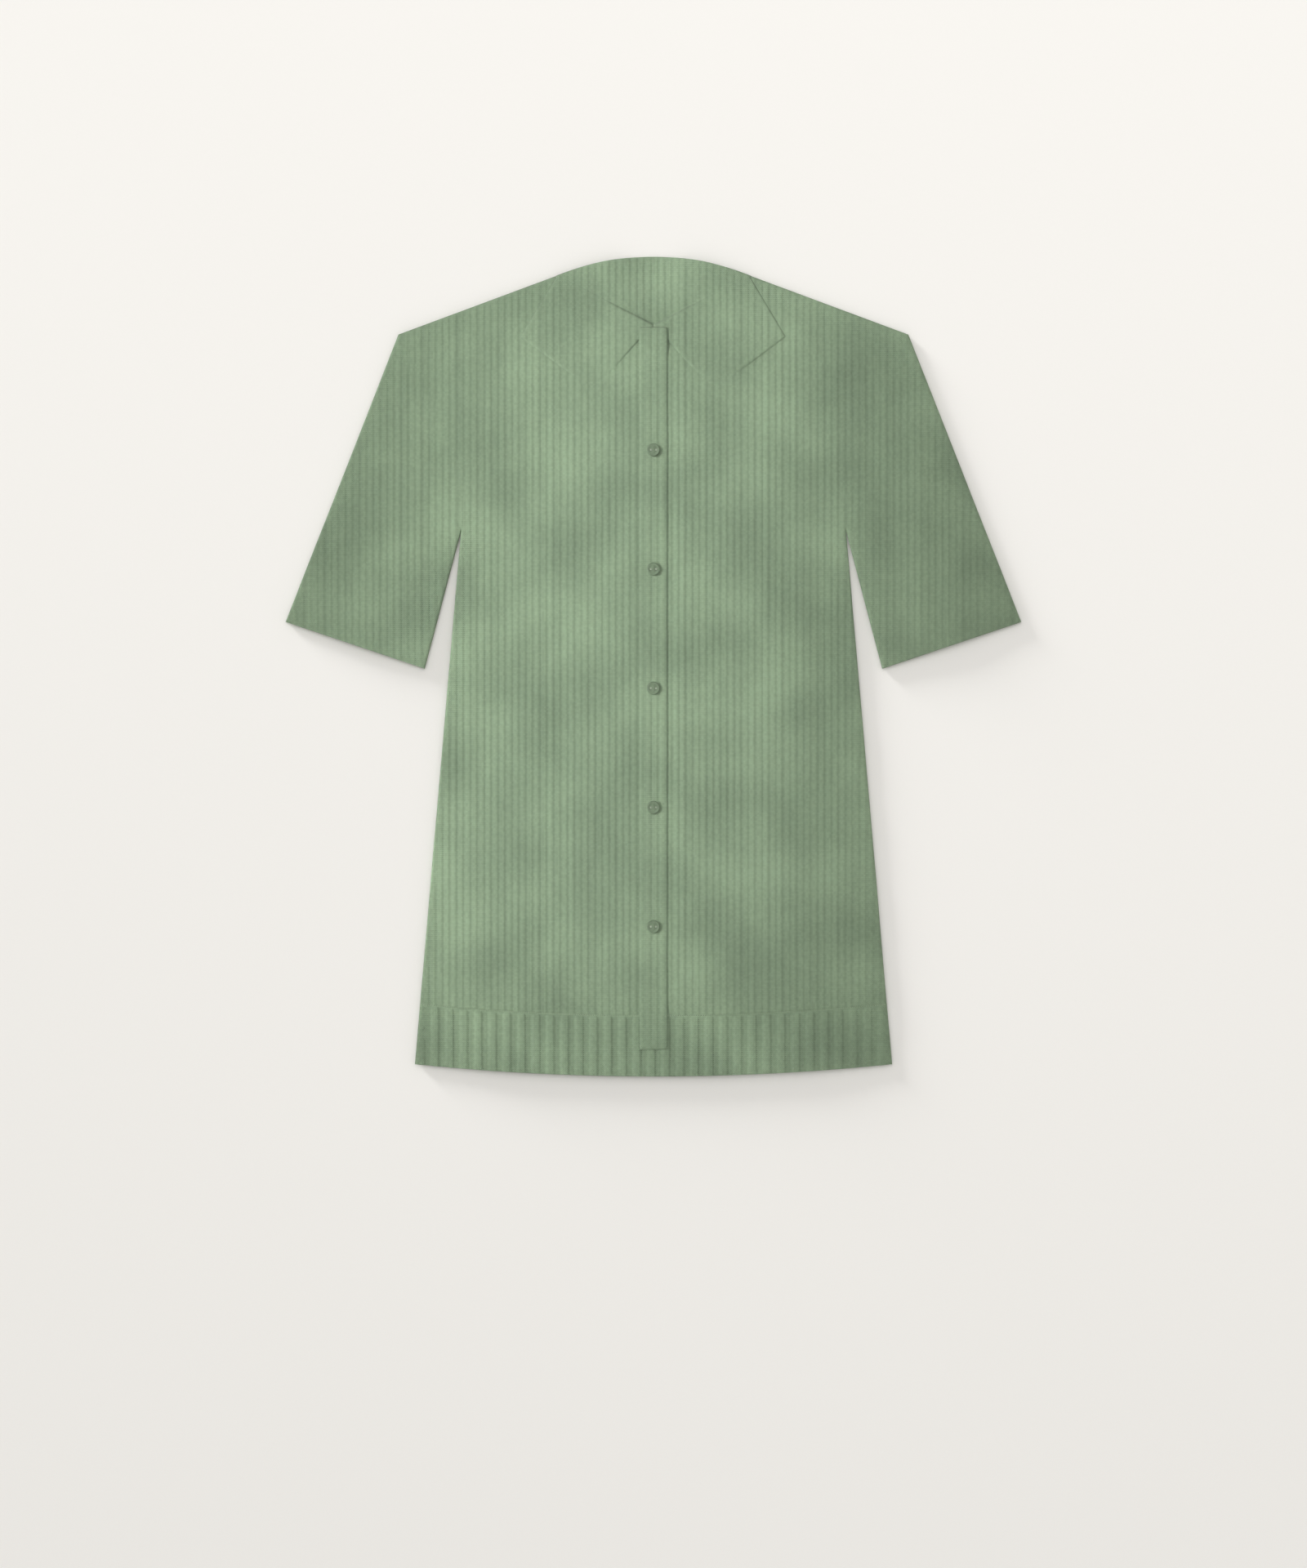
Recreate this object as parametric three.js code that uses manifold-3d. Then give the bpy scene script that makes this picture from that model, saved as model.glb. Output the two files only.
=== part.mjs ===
// A short-sleeved knit polo shirt, laid flat on its back, buttoned, with its collar open over the fronts.
//
// Units are millimetres. +X is the viewer's right, +Y runs up the shirt to the neck and +Z points up
// from the surface that the shirt lies on. The origin is on that surface, under the middle of the shirt.
//
// Each cloth piece is a wall of about 2 mm: a block with a ribbed top, cut to the piece's outline and
// hollowed from below. All pieces take their heights from the same few functions, so they lie on each
// other without touching.
import * as THREE from "three";
import { mergeVertices } from "three/addons/utils/BufferGeometryUtils.js";
import Module from "manifold-3d";

const wasm = await Module();
wasm.setup();

// Outline of the shirt, right half, from the neck round to the hem
const LENGTH = 722; // from the top of the collar's arch to the lowest point of the hem
const TOP_Y = LENGTH / 2;
const NECK_SIDE = { x: 84, y: 344.5 }; // where the collar's arch runs into the shoulder line
const SHOULDER = { x: 224.6, y: 292.2 };
const CUFF_OUT = { x: 324, y: 39 };
const CUFF_IN = { x: 201.5, y: -2.2 };
const UNDERARM = { x: 169.6, y: 118.5 };
const HEM_CORNER = { x: 210.2, y: -350.6 };
const HEM_SAG = TOP_Y + HEM_CORNER.y; // the middle of the hem hangs this much below its corners

const ARMHOLE_PULL = { low: { x: -8.6, y: 56.5 }, high: { x: -15.7, y: -42 } };

// Cloth
const WALL = 1.6; // thickness at the bottom of a rib's groove
const BACK_WALL = 2;
const RIB = { pitch: 6.11, height: 0.9, phase: 3.055 };
const RIB_CREST = 0.24; // half of a rib's flat crest, as a share of the pitch
const SEAM_GAP = 0.3;
const LAYER_GAP = 0.45; // between a front and what lies on it
const EDGE = { drop: 1.2, run: 1.5 }; // how far a cut edge rounds down, and over what width

// The front layer lies low at the closed edges and rises by LOFT this far in from them
const LOFT = 3;
const LOFT_REACH = 90;

// Hem band, in deeper and wider ribs
const HEM_BAND_HEIGHT = 53.4;
const HEM_RIB = { pitch: 12.7, height: 1.1, phase: 3.2 };

// Front opening
const BAND = { half: 12.25, top: 298.2, end: -337, wall: 1.3 };
const BAND_RIB = { ...RIB, height: 0.7 };
const FRONT_EDGE = 9; // the fronts end this far from the middle, under the button band
const STAND = { wall: 1.2, belowBand: 4, aboveHem: 1 }; // the under layer that carries the buttons

// Collar
const CENTRE_FRONT_Y = 301; // where the two roll lines meet
const CENTRE_GAP = 0.4; // half the gap between the two ends of the collar
const LEAF_OUT = { x: 116.6, y: 290 };
const LEAF_TIP = { x: 52.6, y: 242 };
const LEAF_WALL = 1.4;
const LEAF_EDGE = { drop: 1.2, run: 0.8 };
const LEAF_RIB = { ...RIB, height: 0.8 };
const BACK_RIB = { ...RIB, height: 0.5 };
const NECK_SEAM_Y = 287.3; // where the front neck seam meets the button band
const NECK_SEAM_MID = { x: 53, y: 301 };
const BACK_NECK_Y = 300;
const SHOULDER_NECK = { x: 86.3, y: 343.6 }; // where the neck seams of the front and the back meet
const ROLL_WIDTH = 2.6;
const ROLL_SHORT = 2; // the roll stops this far short of both of its ends
const ARCH_END = 78; // the arch is drawn as a curve as far as this
const TURN = { from: 75, below: 1.5 }; // where the collar turns from the back over to the front

// Buttons
const BUTTON = { count: 5, topY: 190.1, spacing: 104.8, radius: 5.75, thickness: 2.4, sides: 16 };
const BUTTON_RIM = { chamfer: 0.8, bevel: 0.6, inner: 1.4, dish: 2.2, depth: 0.6, foot: 1.2 };
const BUTTON_HOLE = { offset: 2.3, radius: 0.9 };
const SHANK_RADIUS = 1.1;
const SLIT = { half: 1.5, length: 10.6 };

// Meshing
const SPAN_MARGIN = 4; // blocks run past the outline that cuts them
const COARSE_STEP = 21;
const SLEEVE_STEP = 31;
const HOLLOW_PAST = 20; // the hollow of a tube runs on past its open ends
const HOLLOW_IN = { x: -70, y: -40 }; // and the sleeve's runs into the body, this far from the shoulder
const CEILING = 40;
const CELLAR = -6;
// Rows of the ribbed surfaces, close together where the fronts thin out to the shoulders
const KNIT_ROWS = [-120, 90, 165, 210, 244, 270, 292, 312, 332];

const KNIT_GREEN = 0x8ea486;
const BUTTON_GREEN = 0x6b7d63;

// Points and curves
const point = (x, y) => new THREE.Vector2(x, y);
const at = ({ x, y }) => point(x, y);
const mirrored = (points) => points.map((p) => point(-p.x, p.y)).reverse();
const lineTo = (from, to, steps) => new THREE.LineCurve(at(from), at(to)).getPoints(steps);
const clamp01 = (t) => THREE.MathUtils.clamp(t, 0, 1);
const evenly = (from, to, step) => {
  const count = Math.max(1, Math.round((to - from) / step));
  return Array.from({ length: count + 1 }, (_, i) => from + ((to - from) * i) / count);
};
const along = (heightOf, from, to, steps) =>
  Array.from({ length: steps + 1 }, (_, i) => {
    const x = from + ((to - from) * i) / steps;
    return point(x, heightOf(x));
  });

// Heights of the hem, the hem seam, the arch and the back neck seam at a distance x from the middle
const hemY = (x) => HEM_CORNER.y - HEM_SAG * (1 - (x / HEM_CORNER.x) ** 2);
const hemSeamY = (x) => hemY(x) + HEM_BAND_HEIGHT;
const archY = (x) => TOP_Y - (TOP_Y - NECK_SIDE.y) * (x / NECK_SIDE.x) ** 2;
const backNeckY = (x) => BACK_NECK_Y + (SHOULDER_NECK.y - BACK_NECK_Y) * (x / SHOULDER_NECK.x) ** 2;
const rollY = (x) => CENTRE_FRONT_Y + ((NECK_SIDE.y - CENTRE_FRONT_Y) * x) / NECK_SIDE.x;

// The side of the body meets the hem seam here
const sideShare = 1 - HEM_BAND_HEIGHT / (UNDERARM.y - HEM_CORNER.y);
const SIDE_LOW = point(UNDERARM.x + (HEM_CORNER.x - UNDERARM.x) * sideShare, 0);
SIDE_LOW.y = hemSeamY(SIDE_LOW.x);

// The closed edges, on both halves: shoulder, top of the sleeve, underarm of the sleeve and side
const CLOSED_EDGES = [1, -1].flatMap((half) =>
  [
    [NECK_SIDE, SHOULDER],
    [SHOULDER, CUFF_OUT],
    [UNDERARM, CUFF_IN],
    [UNDERARM, HEM_CORNER],
  ].map(([a, b]) => [point(half * a.x, a.y), point(half * b.x, b.y)]),
);

function distanceToEdge(x, y, [a, b]) {
  const run = b.clone().sub(a);
  const share = clamp01(point(x, y).sub(a).dot(run) / run.lengthSq());
  return point(x, y).distanceTo(a.clone().addScaledVector(run, share));
}

// How far the front layer rises above its lowest place. The distances are joined softly, so that no
// crease runs along the middle of a piece.
function loft(x, y) {
  const closeness = CLOSED_EDGES.reduce((sum, edge) => sum + (distanceToEdge(x, y, edge) + 0.01) ** -4, 0);
  return LOFT * THREE.MathUtils.smoothstep(closeness ** -0.25, 0, LOFT_REACH);
}

// The levels of the layers
const frontInside = (x, y) => BACK_WALL + SEAM_GAP + loft(x, y);
const frontGroove = (x, y) => frontInside(x, y) + WALL;
const frontCrest = (x, y) => frontGroove(x, y) + RIB.height;
const hemGroove = (x, y) => frontCrest(x, y) - HEM_RIB.height;
const standTop = (x, y) => frontInside(x, y) - SEAM_GAP;
const standFloor = (x, y) => standTop(x, y) - STAND.wall;
const coverFloor = (x, y) => frontCrest(x, y) + LAYER_GAP;
const bandGroove = (x, y) => coverFloor(x, y) + BAND.wall;
const bandCrest = (x, y) => bandGroove(x, y) + BAND_RIB.height;
const leafGroove = (x, y) => coverFloor(x, y) + LEAF_WALL;
const leafCrest = (x, y) => leafGroove(x, y) + LEAF_RIB.height;
const rollTop = (x, y) => coverFloor(x, y) + LEAF_WALL / 2;
const level = (z) => () => z;

// A solid from vertices and triangles. Joins and cuts are made on such solids.
function solidOf(geometry) {
  const bare = geometry.clone();
  bare.deleteAttribute("normal");
  bare.deleteAttribute("uv");
  const merged = mergeVertices(bare);
  return new wasm.Manifold(
    new wasm.Mesh({
      numProp: 3,
      vertProperties: new Float32Array(merged.attributes.position.array),
      triVerts: new Uint32Array(merged.index.array),
    }),
  );
}

const solidFrom = (positions, triangles) =>
  solidOf(
    new THREE.BufferGeometry()
      .setAttribute("position", new THREE.Float32BufferAttribute(positions, 3))
      .setIndex(triangles),
  );

function geometryOf(solid) {
  const { numVert, numProp, vertProperties, triVerts } = solid.getMesh();
  const positions = new Float32Array(numVert * 3);
  for (let i = 0; i < numVert; i++) {
    const start = i * numProp;
    positions.set(vertProperties.subarray(start, start + 3), i * 3);
  }
  const geometry = new THREE.BufferGeometry()
    .setAttribute("position", new THREE.BufferAttribute(positions, 3))
    .setIndex(new THREE.BufferAttribute(new Uint32Array(triVerts), 1));
  geometry.computeVertexNormals();
  return geometry;
}

// A block over a grid of columns and rows, from the level `floor` up to topOf(x, y).
function block(columns, rows, topOf, floor = CELLAR) {
  const [nx, ny] = [columns.length, rows.length];
  const positions = rows.flatMap((y) => columns.flatMap((x) => [x, y, topOf(x, y)]));
  const triangles = [];
  for (let j = 0; j < ny - 1; j++)
    for (let i = 0; i < nx - 1; i++) {
      const a = j * nx + i;
      triangles.push(a, a + 1, a + nx + 1, a, a + nx + 1, a + nx);
    }
  const rim = [
    ...Array.from({ length: nx - 1 }, (_, i) => i),
    ...Array.from({ length: ny - 1 }, (_, j) => j * nx + nx - 1),
    ...Array.from({ length: nx - 1 }, (_, i) => ny * nx - 1 - i),
    ...Array.from({ length: ny - 1 }, (_, j) => (ny - 1 - j) * nx),
  ];
  const below = nx * ny;
  rim.forEach((v) => positions.push(positions[3 * v], positions[3 * v + 1], floor));
  const centre = below + rim.length;
  positions.push((columns[0] + columns[nx - 1]) / 2, (rows[0] + rows[ny - 1]) / 2, floor);
  rim.forEach((v, i) => {
    const next = (i + 1) % rim.length;
    triangles.push(v, below + i, below + next, v, below + next, rim[next]);
    triangles.push(below + i, centre, below + next);
  });
  return solidFrom(positions, triangles);
}

const rowsBetween = (low, high) => [low, ...KNIT_ROWS.filter((y) => y > low && y < high), high];
const boxRound = (outline) => new THREE.Box2().setFromPoints(outline).expandByScalar(SPAN_MARGIN);

// How far a rib stands over its groove at x: a flat crest between sloping flanks.
function ribRise(x, { pitch, height, phase }) {
  const fromGroove = Math.abs(THREE.MathUtils.euclideanModulo((x - phase) / pitch + 0.5, 1) - 0.5);
  return height * clamp01(fromGroove / (0.5 - RIB_CREST));
}

// The x of every groove and crest edge between two limits.
function ribColumns(from, to, { pitch, phase }) {
  const grooves = evenly(
    phase + pitch * Math.floor((from - phase) / pitch),
    phase + pitch * Math.ceil((to - phase) / pitch),
    pitch,
  );
  const flank = (0.5 - RIB_CREST) * pitch;
  const inside = grooves.flatMap((x) => [x - flank, x, x + flank]).filter((x) => x > from && x < to);
  return [from, ...inside, to];
}

// A block with ribs, round an outline. Its rows are the shared ones, or evenly spaced where a step is given.
function ribbedBlock(outline, rib, grooveOf, step) {
  const { min, max } = boxRound(outline);
  const rows = step ? evenly(min.y, max.y, step) : rowsBetween(min.y, max.y);
  return block(ribColumns(min.x, max.x, rib), rows, (x, y) => grooveOf(x, y) + ribRise(x, rib));
}

function plainBlock(outline, topOf, floor, step) {
  const { min, max } = boxRound(outline);
  const rows = step ? evenly(min.y, max.y, step) : rowsBetween(min.y, max.y);
  return block(evenly(min.x, max.x, COARSE_STEP), rows, topOf, floor);
}

// What is below a piece's underside, to cut it away. It starts lower than the block that it cuts.
const hollowBelow = (outline, floorOf) => plainBlock(outline, floorOf, 2 * CELLAR);

// The outline moved inwards by a distance, corner by corner. Outlines run anticlockwise.
function inset(outline, distance) {
  const count = outline.length;
  return outline.map((p, i) => {
    const before = p.clone().sub(outline[(i + count - 1) % count]).normalize();
    const after = outline[(i + 1) % count].clone().sub(p).normalize();
    const inward = point(-before.y - after.y, before.x + after.x);
    const cosine = Math.max(0.4, inward.length() / 2);
    return p.clone().addScaledVector(inward.normalize(), distance / cosine);
  });
}

// A closed wall through rings of equally many points, each ring with its own level.
function stack(rings) {
  const count = rings[0].outline.length;
  const positions = rings.flatMap(({ outline, z }) => outline.flatMap((p) => [p.x, p.y, z(p.x, p.y)]));
  const triangles = [];
  for (let r = 0; r < rings.length - 1; r++)
    for (let i = 0; i < count; i++) {
      const [a, b] = [r * count + i, r * count + ((i + 1) % count)];
      triangles.push(a, b, b + count, a, b + count, a + count);
    }
  const top = (rings.length - 1) * count;
  THREE.ShapeUtils.triangulateShape(rings[0].outline, []).forEach(([a, b, c]) => triangles.push(a, c, b));
  THREE.ShapeUtils.triangulateShape(rings[rings.length - 1].outline, []).forEach(([a, b, c]) =>
    triangles.push(top + a, top + b, top + c),
  );
  return solidFrom(positions, triangles);
}

const prism = (outline, low, high) =>
  stack([
    { outline, z: level(low) },
    { outline, z: level(high) },
  ]);

// What lies inside an outline, half a seam gap in, with the upper edge rounded down all the way round.
function cutter(outline, crestOf, edge = EDGE, gap = SEAM_GAP / 2) {
  const outer = inset(outline, gap);
  const inner = inset(outline, gap + edge.run);
  return stack([
    { outline: outer, z: level(0) },
    { outline: outer, z: (x, y) => crestOf(x, y) - edge.drop },
    { outline: inner, z: (x, y) => crestOf(x, y) + LAYER_GAP / 2 },
    { outline: inner, z: level(CEILING) },
  ]);
}

const group = new THREE.Group();
group.name = "knit_polo_shirt";

function add(name, solid, color = KNIT_GREEN, roughness = 0.92) {
  const material = new THREE.MeshStandardMaterial({ color, roughness, metalness: 0 });
  const mesh = new THREE.Mesh(geometryOf(solid), material);
  mesh.name = name;
  group.add(mesh);
}

function addPair(name, solid) {
  add(`${name}_right`, solid);
  add(`${name}_left`, solid.mirror([1, 0, 0]));
}

// Shared seams, right half
const armhole = new THREE.CubicBezierCurve(
  at(UNDERARM),
  at(UNDERARM).add(ARMHOLE_PULL.low),
  at(SHOULDER).add(ARMHOLE_PULL.high),
  at(SHOULDER),
).getPoints(10);
const shoulderSeam = lineTo(SHOULDER, SHOULDER_NECK, 5);
const sideSeam = lineTo(SIDE_LOW, UNDERARM, 5);
const neckSeamEnd = point(FRONT_EDGE, NECK_SEAM_Y);
const neckSeamPull = at(NECK_SEAM_MID)
  .multiplyScalar(2)
  .sub(at(SHOULDER_NECK).add(neckSeamEnd).multiplyScalar(0.5));
const neckSeam = new THREE.QuadraticBezierCurve(at(SHOULDER_NECK), neckSeamPull, neckSeamEnd).getPoints(8);

// A front, from under the button band to the side seam
function front() {
  const outline = [
    ...along(hemSeamY, FRONT_EDGE, SIDE_LOW.x, 8),
    ...sideSeam.slice(1),
    ...armhole.slice(1),
    ...shoulderSeam.slice(1),
    ...neckSeam.slice(1),
    ...lineTo(neckSeamEnd, { x: FRONT_EDGE, y: hemSeamY(FRONT_EDGE) }, 8).slice(1, -1),
  ];
  return cutter(outline, frontCrest)
    .intersect(ribbedBlock(outline, RIB, frontGroove))
    .subtract(hollowBelow(outline, frontInside));
}

// The back, flat on the surface under the fronts
function back() {
  const half = [...sideSeam, ...armhole.slice(1), ...shoulderSeam.slice(1)];
  const outline = [
    ...along(hemSeamY, -SIDE_LOW.x, SIDE_LOW.x, 16),
    ...half.slice(1),
    ...along(backNeckY, SHOULDER_NECK.x, -SHOULDER_NECK.x, 16).slice(1, -1),
    ...mirrored(half).slice(0, -1),
  ];
  const edge = inset(outline, SEAM_GAP / 2);
  const bevel = 0.5;
  return stack([
    { outline: edge, z: level(0) },
    { outline: edge, z: level(BACK_WALL - bevel) },
    { outline: inset(outline, SEAM_GAP / 2 + bevel), z: level(BACK_WALL) },
  ]);
}

// A sleeve: a flattened tube, open at the cuff and at the armhole
function sleeve() {
  const outline = [
    ...lineTo(UNDERARM, CUFF_IN, 4),
    ...lineTo(CUFF_IN, CUFF_OUT, 5).slice(1),
    ...lineTo(CUFF_OUT, SHOULDER, 9).slice(1),
    ...armhole.slice(1, -1).reverse(),
  ];
  const beyond = (from, to) => at(to).add(at(to).sub(at(from)).setLength(HOLLOW_PAST));
  const hollowOutline = inset(
    [
      beyond(CUFF_IN, UNDERARM),
      beyond(UNDERARM, CUFF_IN),
      beyond(SHOULDER, CUFF_OUT),
      beyond(CUFF_OUT, SHOULDER),
      at(SHOULDER).add(HOLLOW_IN),
    ],
    WALL + RIB.height,
  );
  const hollow = prism(hollowOutline, BACK_WALL, CEILING).intersect(
    plainBlock(hollowOutline, frontInside, CELLAR, COARSE_STEP),
  );
  return cutter(outline, frontCrest)
    .intersect(ribbedBlock(outline, RIB, frontGroove, SLEEVE_STEP))
    .subtract(hollow);
}

// The hem band: a flattened tube that closes the two fronts and the back below
function hemBand() {
  const outline = [
    ...along(hemY, -HEM_CORNER.x, HEM_CORNER.x, 18),
    ...along(hemSeamY, SIDE_LOW.x, -SIDE_LOW.x, 18),
  ];
  const width = HEM_CORNER.x - WALL - RIB.height;
  const upperWidth = SIDE_LOW.x - WALL - RIB.height;
  const hollowOutline = [
    point(-width, -TOP_Y - HOLLOW_PAST),
    point(width, -TOP_Y - HOLLOW_PAST),
    point(upperWidth, SIDE_LOW.y + HOLLOW_PAST),
    point(-upperWidth, SIDE_LOW.y + HOLLOW_PAST),
  ];
  const hollow = prism(hollowOutline, BACK_WALL, CEILING).intersect(
    plainBlock(hollowOutline, frontInside, CELLAR),
  );
  return cutter(outline, frontCrest).intersect(ribbedBlock(outline, HEM_RIB, hemGroove)).subtract(hollow);
}

const rectangle = (half, low, high, steps) => [
  point(-half, low),
  ...lineTo({ x: half, y: low }, { x: half, y: high }, steps),
  ...lineTo({ x: -half, y: high }, { x: -half, y: low }, steps).slice(0, -1),
];

// The button band on top of the fronts, with a buttonhole under each button
const buttonRows = Array.from({ length: BUTTON.count }, (_, i) => BUTTON.topY - i * BUTTON.spacing);
function buttonBand() {
  const outline = rectangle(BAND.half, BAND.end, BAND.top, 8);
  const strip = cutter(outline, bandCrest, EDGE, 0)
    .intersect(ribbedBlock(outline, BAND_RIB, bandGroove))
    .subtract(hollowBelow(outline, coverFloor));
  const slits = buttonRows.map((y) =>
    prism(rectangle(SLIT.half, y - SLIT.length / 2, y + SLIT.length / 2, 1), CELLAR, CEILING),
  );
  return slits.reduce((cloth, slit) => cloth.subtract(slit), strip);
}

// The button stand, hidden under the fronts, that the buttons are sewn to
function buttonStand() {
  const outline = rectangle(BAND.half, hemSeamY(BAND.half) + STAND.aboveHem, BAND.top - STAND.belowBand, 1);
  return prism(outline, 0, CEILING)
    .intersect(plainBlock(outline, standTop))
    .subtract(hollowBelow(outline, standFloor));
}

// The front of the collar: a strip that stands in the neck seam, and the leaf that rolls out over it
function collarFront() {
  const centreFront = point(CENTRE_GAP, CENTRE_FRONT_Y);
  const rollLine = lineTo(NECK_SIDE, centreFront, 5);
  const notch = point(BAND.half + LAYER_GAP, BAND.top + LAYER_GAP);
  const leafOutline = [
    point(CENTRE_GAP, notch.y),
    notch,
    ...lineTo({ x: notch.x, y: NECK_SEAM_Y }, LEAF_TIP, 3),
    ...lineTo(LEAF_TIP, LEAF_OUT, 4).slice(1),
    ...lineTo(LEAF_OUT, NECK_SIDE, 3).slice(1),
    ...rollLine.slice(1),
  ];
  const leaf = cutter(leafOutline, leafCrest, LEAF_EDGE)
    .intersect(ribbedBlock(leafOutline, LEAF_RIB, leafGroove))
    .subtract(hollowBelow(leafOutline, coverFloor));

  const rollDown = point(0, -ROLL_WIDTH);
  const standOutline = [
    centreFront.clone().add(rollDown.clone().multiplyScalar(2)),
    neckSeamEnd.clone().addScalar(SEAM_GAP),
    ...neckSeam.slice(1, -1).reverse(),
    ...rollLine,
  ];
  const belowStand = hollowBelow(standOutline, frontInside);
  const standStrip = prism(inset(standOutline, SEAM_GAP), 0, CEILING).intersect(
    plainBlock(standOutline, frontCrest),
  );
  const rollTo = NECK_SIDE.x - ROLL_SHORT;
  const rollEdge = lineTo({ x: rollTo, y: rollY(rollTo) }, { x: ROLL_SHORT, y: rollY(ROLL_SHORT) }, 5);
  const rollOutline = inset(
    [rollEdge[5].clone().add(rollDown), rollEdge[0].clone().add(rollDown), ...rollEdge],
    SEAM_GAP / 2,
  );
  const roll = prism(rollOutline, 0, CEILING).intersect(plainBlock(standOutline, rollTop));
  return leaf.add(standStrip.add(roll).subtract(belowStand));
}

// The back of the collar, open and flat behind the neck
function collarBack() {
  const outline = [
    ...along(backNeckY, -SHOULDER_NECK.x, SHOULDER_NECK.x, 16),
    ...along(archY, ARCH_END, -ARCH_END, 20),
  ];
  return cutter(outline, level(BACK_WALL + BACK_RIB.height)).intersect(
    ribbedBlock(outline, BACK_RIB, level(BACK_WALL), LENGTH),
  );
}

// The fold at the side of the neck, where the collar turns from the back over to the front
function collarTurn() {
  const foldEnd = point(NECK_SIDE.x - TURN.below, rollY(NECK_SIDE.x) - 2 * TURN.below);
  const outline = [
    point(TURN.from, rollY(TURN.from) - TURN.below),
    foldEnd,
    at(NECK_SIDE).subScalar(SEAM_GAP),
    point(ARCH_END, archY(ARCH_END) - SEAM_GAP),
    point(TURN.from, archY(TURN.from) - SEAM_GAP),
  ];
  return prism(outline, 0, CEILING).intersect(plainBlock(outline, rollTop));
}

function collar() {
  const half = collarFront().add(collarTurn());
  return collarBack().add(half).add(half.mirror([1, 0, 0]));
}

// A button: a dished disc with two holes, on a thread shank that goes down through the buttonhole
function button(y) {
  const seat = bandCrest(0, y) + SEAM_GAP;
  const { radius, thickness, sides } = BUTTON;
  const dishZ = thickness - BUTTON_RIM.depth;
  const profile = [
    point(0, 0),
    point(radius - BUTTON_RIM.foot, 0),
    point(radius, BUTTON_RIM.chamfer),
    point(radius, thickness - BUTTON_RIM.bevel),
    point(radius - BUTTON_RIM.bevel, thickness),
    point(radius - BUTTON_RIM.inner, thickness),
    point(radius - BUTTON_RIM.dish, dishZ),
    point(0, dishZ),
  ];
  const upright = (geometry, x, z) => solidOf(geometry.rotateX(Math.PI / 2).translate(x, y, z));
  const disc = upright(new THREE.LatheGeometry(profile, sides), 0, seat);
  const holes = [-1, 1].map((side) => {
    const drill = new THREE.CylinderGeometry(BUTTON_HOLE.radius, BUTTON_HOLE.radius, 3 * thickness, 8);
    return upright(drill, side * BUTTON_HOLE.offset, seat + thickness / 2);
  });
  const foot = standTop(0, y) + SEAM_GAP;
  const height = seat + thickness / 2 - foot;
  const thread = new THREE.CylinderGeometry(SHANK_RADIUS, SHANK_RADIUS, height, 8);
  const shank = upright(thread, 0, foot + height / 2);
  return holes.reduce((made, hole) => made.subtract(hole), disc.add(shank));
}

add("back", back());
addPair("front", front());
addPair("sleeve", sleeve());
add("hem_band", hemBand());
add("button_stand", buttonStand());
add("button_band", buttonBand());
add("collar", collar());
buttonRows.forEach((y, i) => add(`button_${i + 1}`, button(y), BUTTON_GREEN, 0.45));

export default group;
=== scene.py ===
"""A short-sleeved knit polo shirt, laid flat: ribbed cloth, seams, collar, buttons, light and camera.

The cloth is worked out in millimetres, in the frame's own axes: +X to the viewer's right, +Y up the
shirt to the neck, +Z up from the surface that the shirt lies on. Meshes are made in metres.
"""
import logging
import math
from collections.abc import Callable, Sequence
from dataclasses import dataclass, field
from enum import Enum

import bmesh
import bpy
import numpy as np
from mathutils import Matrix, Vector
from mathutils.geometry import delaunay_2d_cdt


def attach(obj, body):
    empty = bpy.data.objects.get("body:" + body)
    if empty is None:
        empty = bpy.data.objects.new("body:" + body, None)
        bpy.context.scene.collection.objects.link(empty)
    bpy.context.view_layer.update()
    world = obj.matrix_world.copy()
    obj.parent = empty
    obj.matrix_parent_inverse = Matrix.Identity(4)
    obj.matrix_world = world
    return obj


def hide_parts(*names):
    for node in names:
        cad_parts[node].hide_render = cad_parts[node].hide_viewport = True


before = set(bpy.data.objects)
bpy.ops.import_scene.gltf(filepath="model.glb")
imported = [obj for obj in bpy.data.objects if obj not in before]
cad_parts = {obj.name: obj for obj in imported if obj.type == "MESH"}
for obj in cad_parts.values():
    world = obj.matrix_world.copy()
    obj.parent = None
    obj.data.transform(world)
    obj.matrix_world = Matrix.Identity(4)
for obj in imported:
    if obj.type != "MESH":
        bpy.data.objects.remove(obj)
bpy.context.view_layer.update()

MM = 0.001
BODY = "root"
log = logging.getLogger("polo_shirt")

Array = np.ndarray
Height = Callable[[Array], Array]
Place = tuple[float, float, float]
Colour = tuple[float, float, float, float]


def smooth(t: Array) -> Array:
    """Return t eased from 0 to 1."""
    t = np.clip(t, 0.0, 1.0)
    return t * t * (3.0 - 2.0 * t)


def ramp(values: Array, start: float, end: float) -> Array:
    """Return values eased from 0 at a start to 1 at an end."""
    return smooth((values - start) / (end - start))


def points(*pairs: Sequence[float]) -> Array:
    """Return the pairs as an array of points."""
    return np.array(pairs, float)


def line(start: Sequence[float], end: Sequence[float]) -> Array:
    """Return a straight run between two points."""
    return points(start, end)


def mirrored(run: Array) -> Array:
    """Return a run on the other half of the shirt, in the opposite order."""
    return (run * (-1.0, 1.0))[::-1]


def distance_from(start: Array, end: Array, xy: Array) -> Array:
    """Return how far points are from a straight run.

    Args:
        start: Where the run starts.
        end: Where it ends.
        xy: The points.

    Returns:
        Their distances.
    """
    run = end - start
    share = np.clip((xy - start) @ run / (run @ run), 0.0, 1.0)
    return np.linalg.norm(xy - start - share[:, None] * run, axis=1)


def placed(name: str, data: bpy.types.ID) -> bpy.types.Object:
    """Put new data into the scene.

    Args:
        name: The object's name.
        data: Its mesh, curve, light or camera.

    Returns:
        The object.
    """
    made = bpy.data.objects.new(name, data)
    bpy.context.scene.collection.objects.link(made)
    return made


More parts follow.
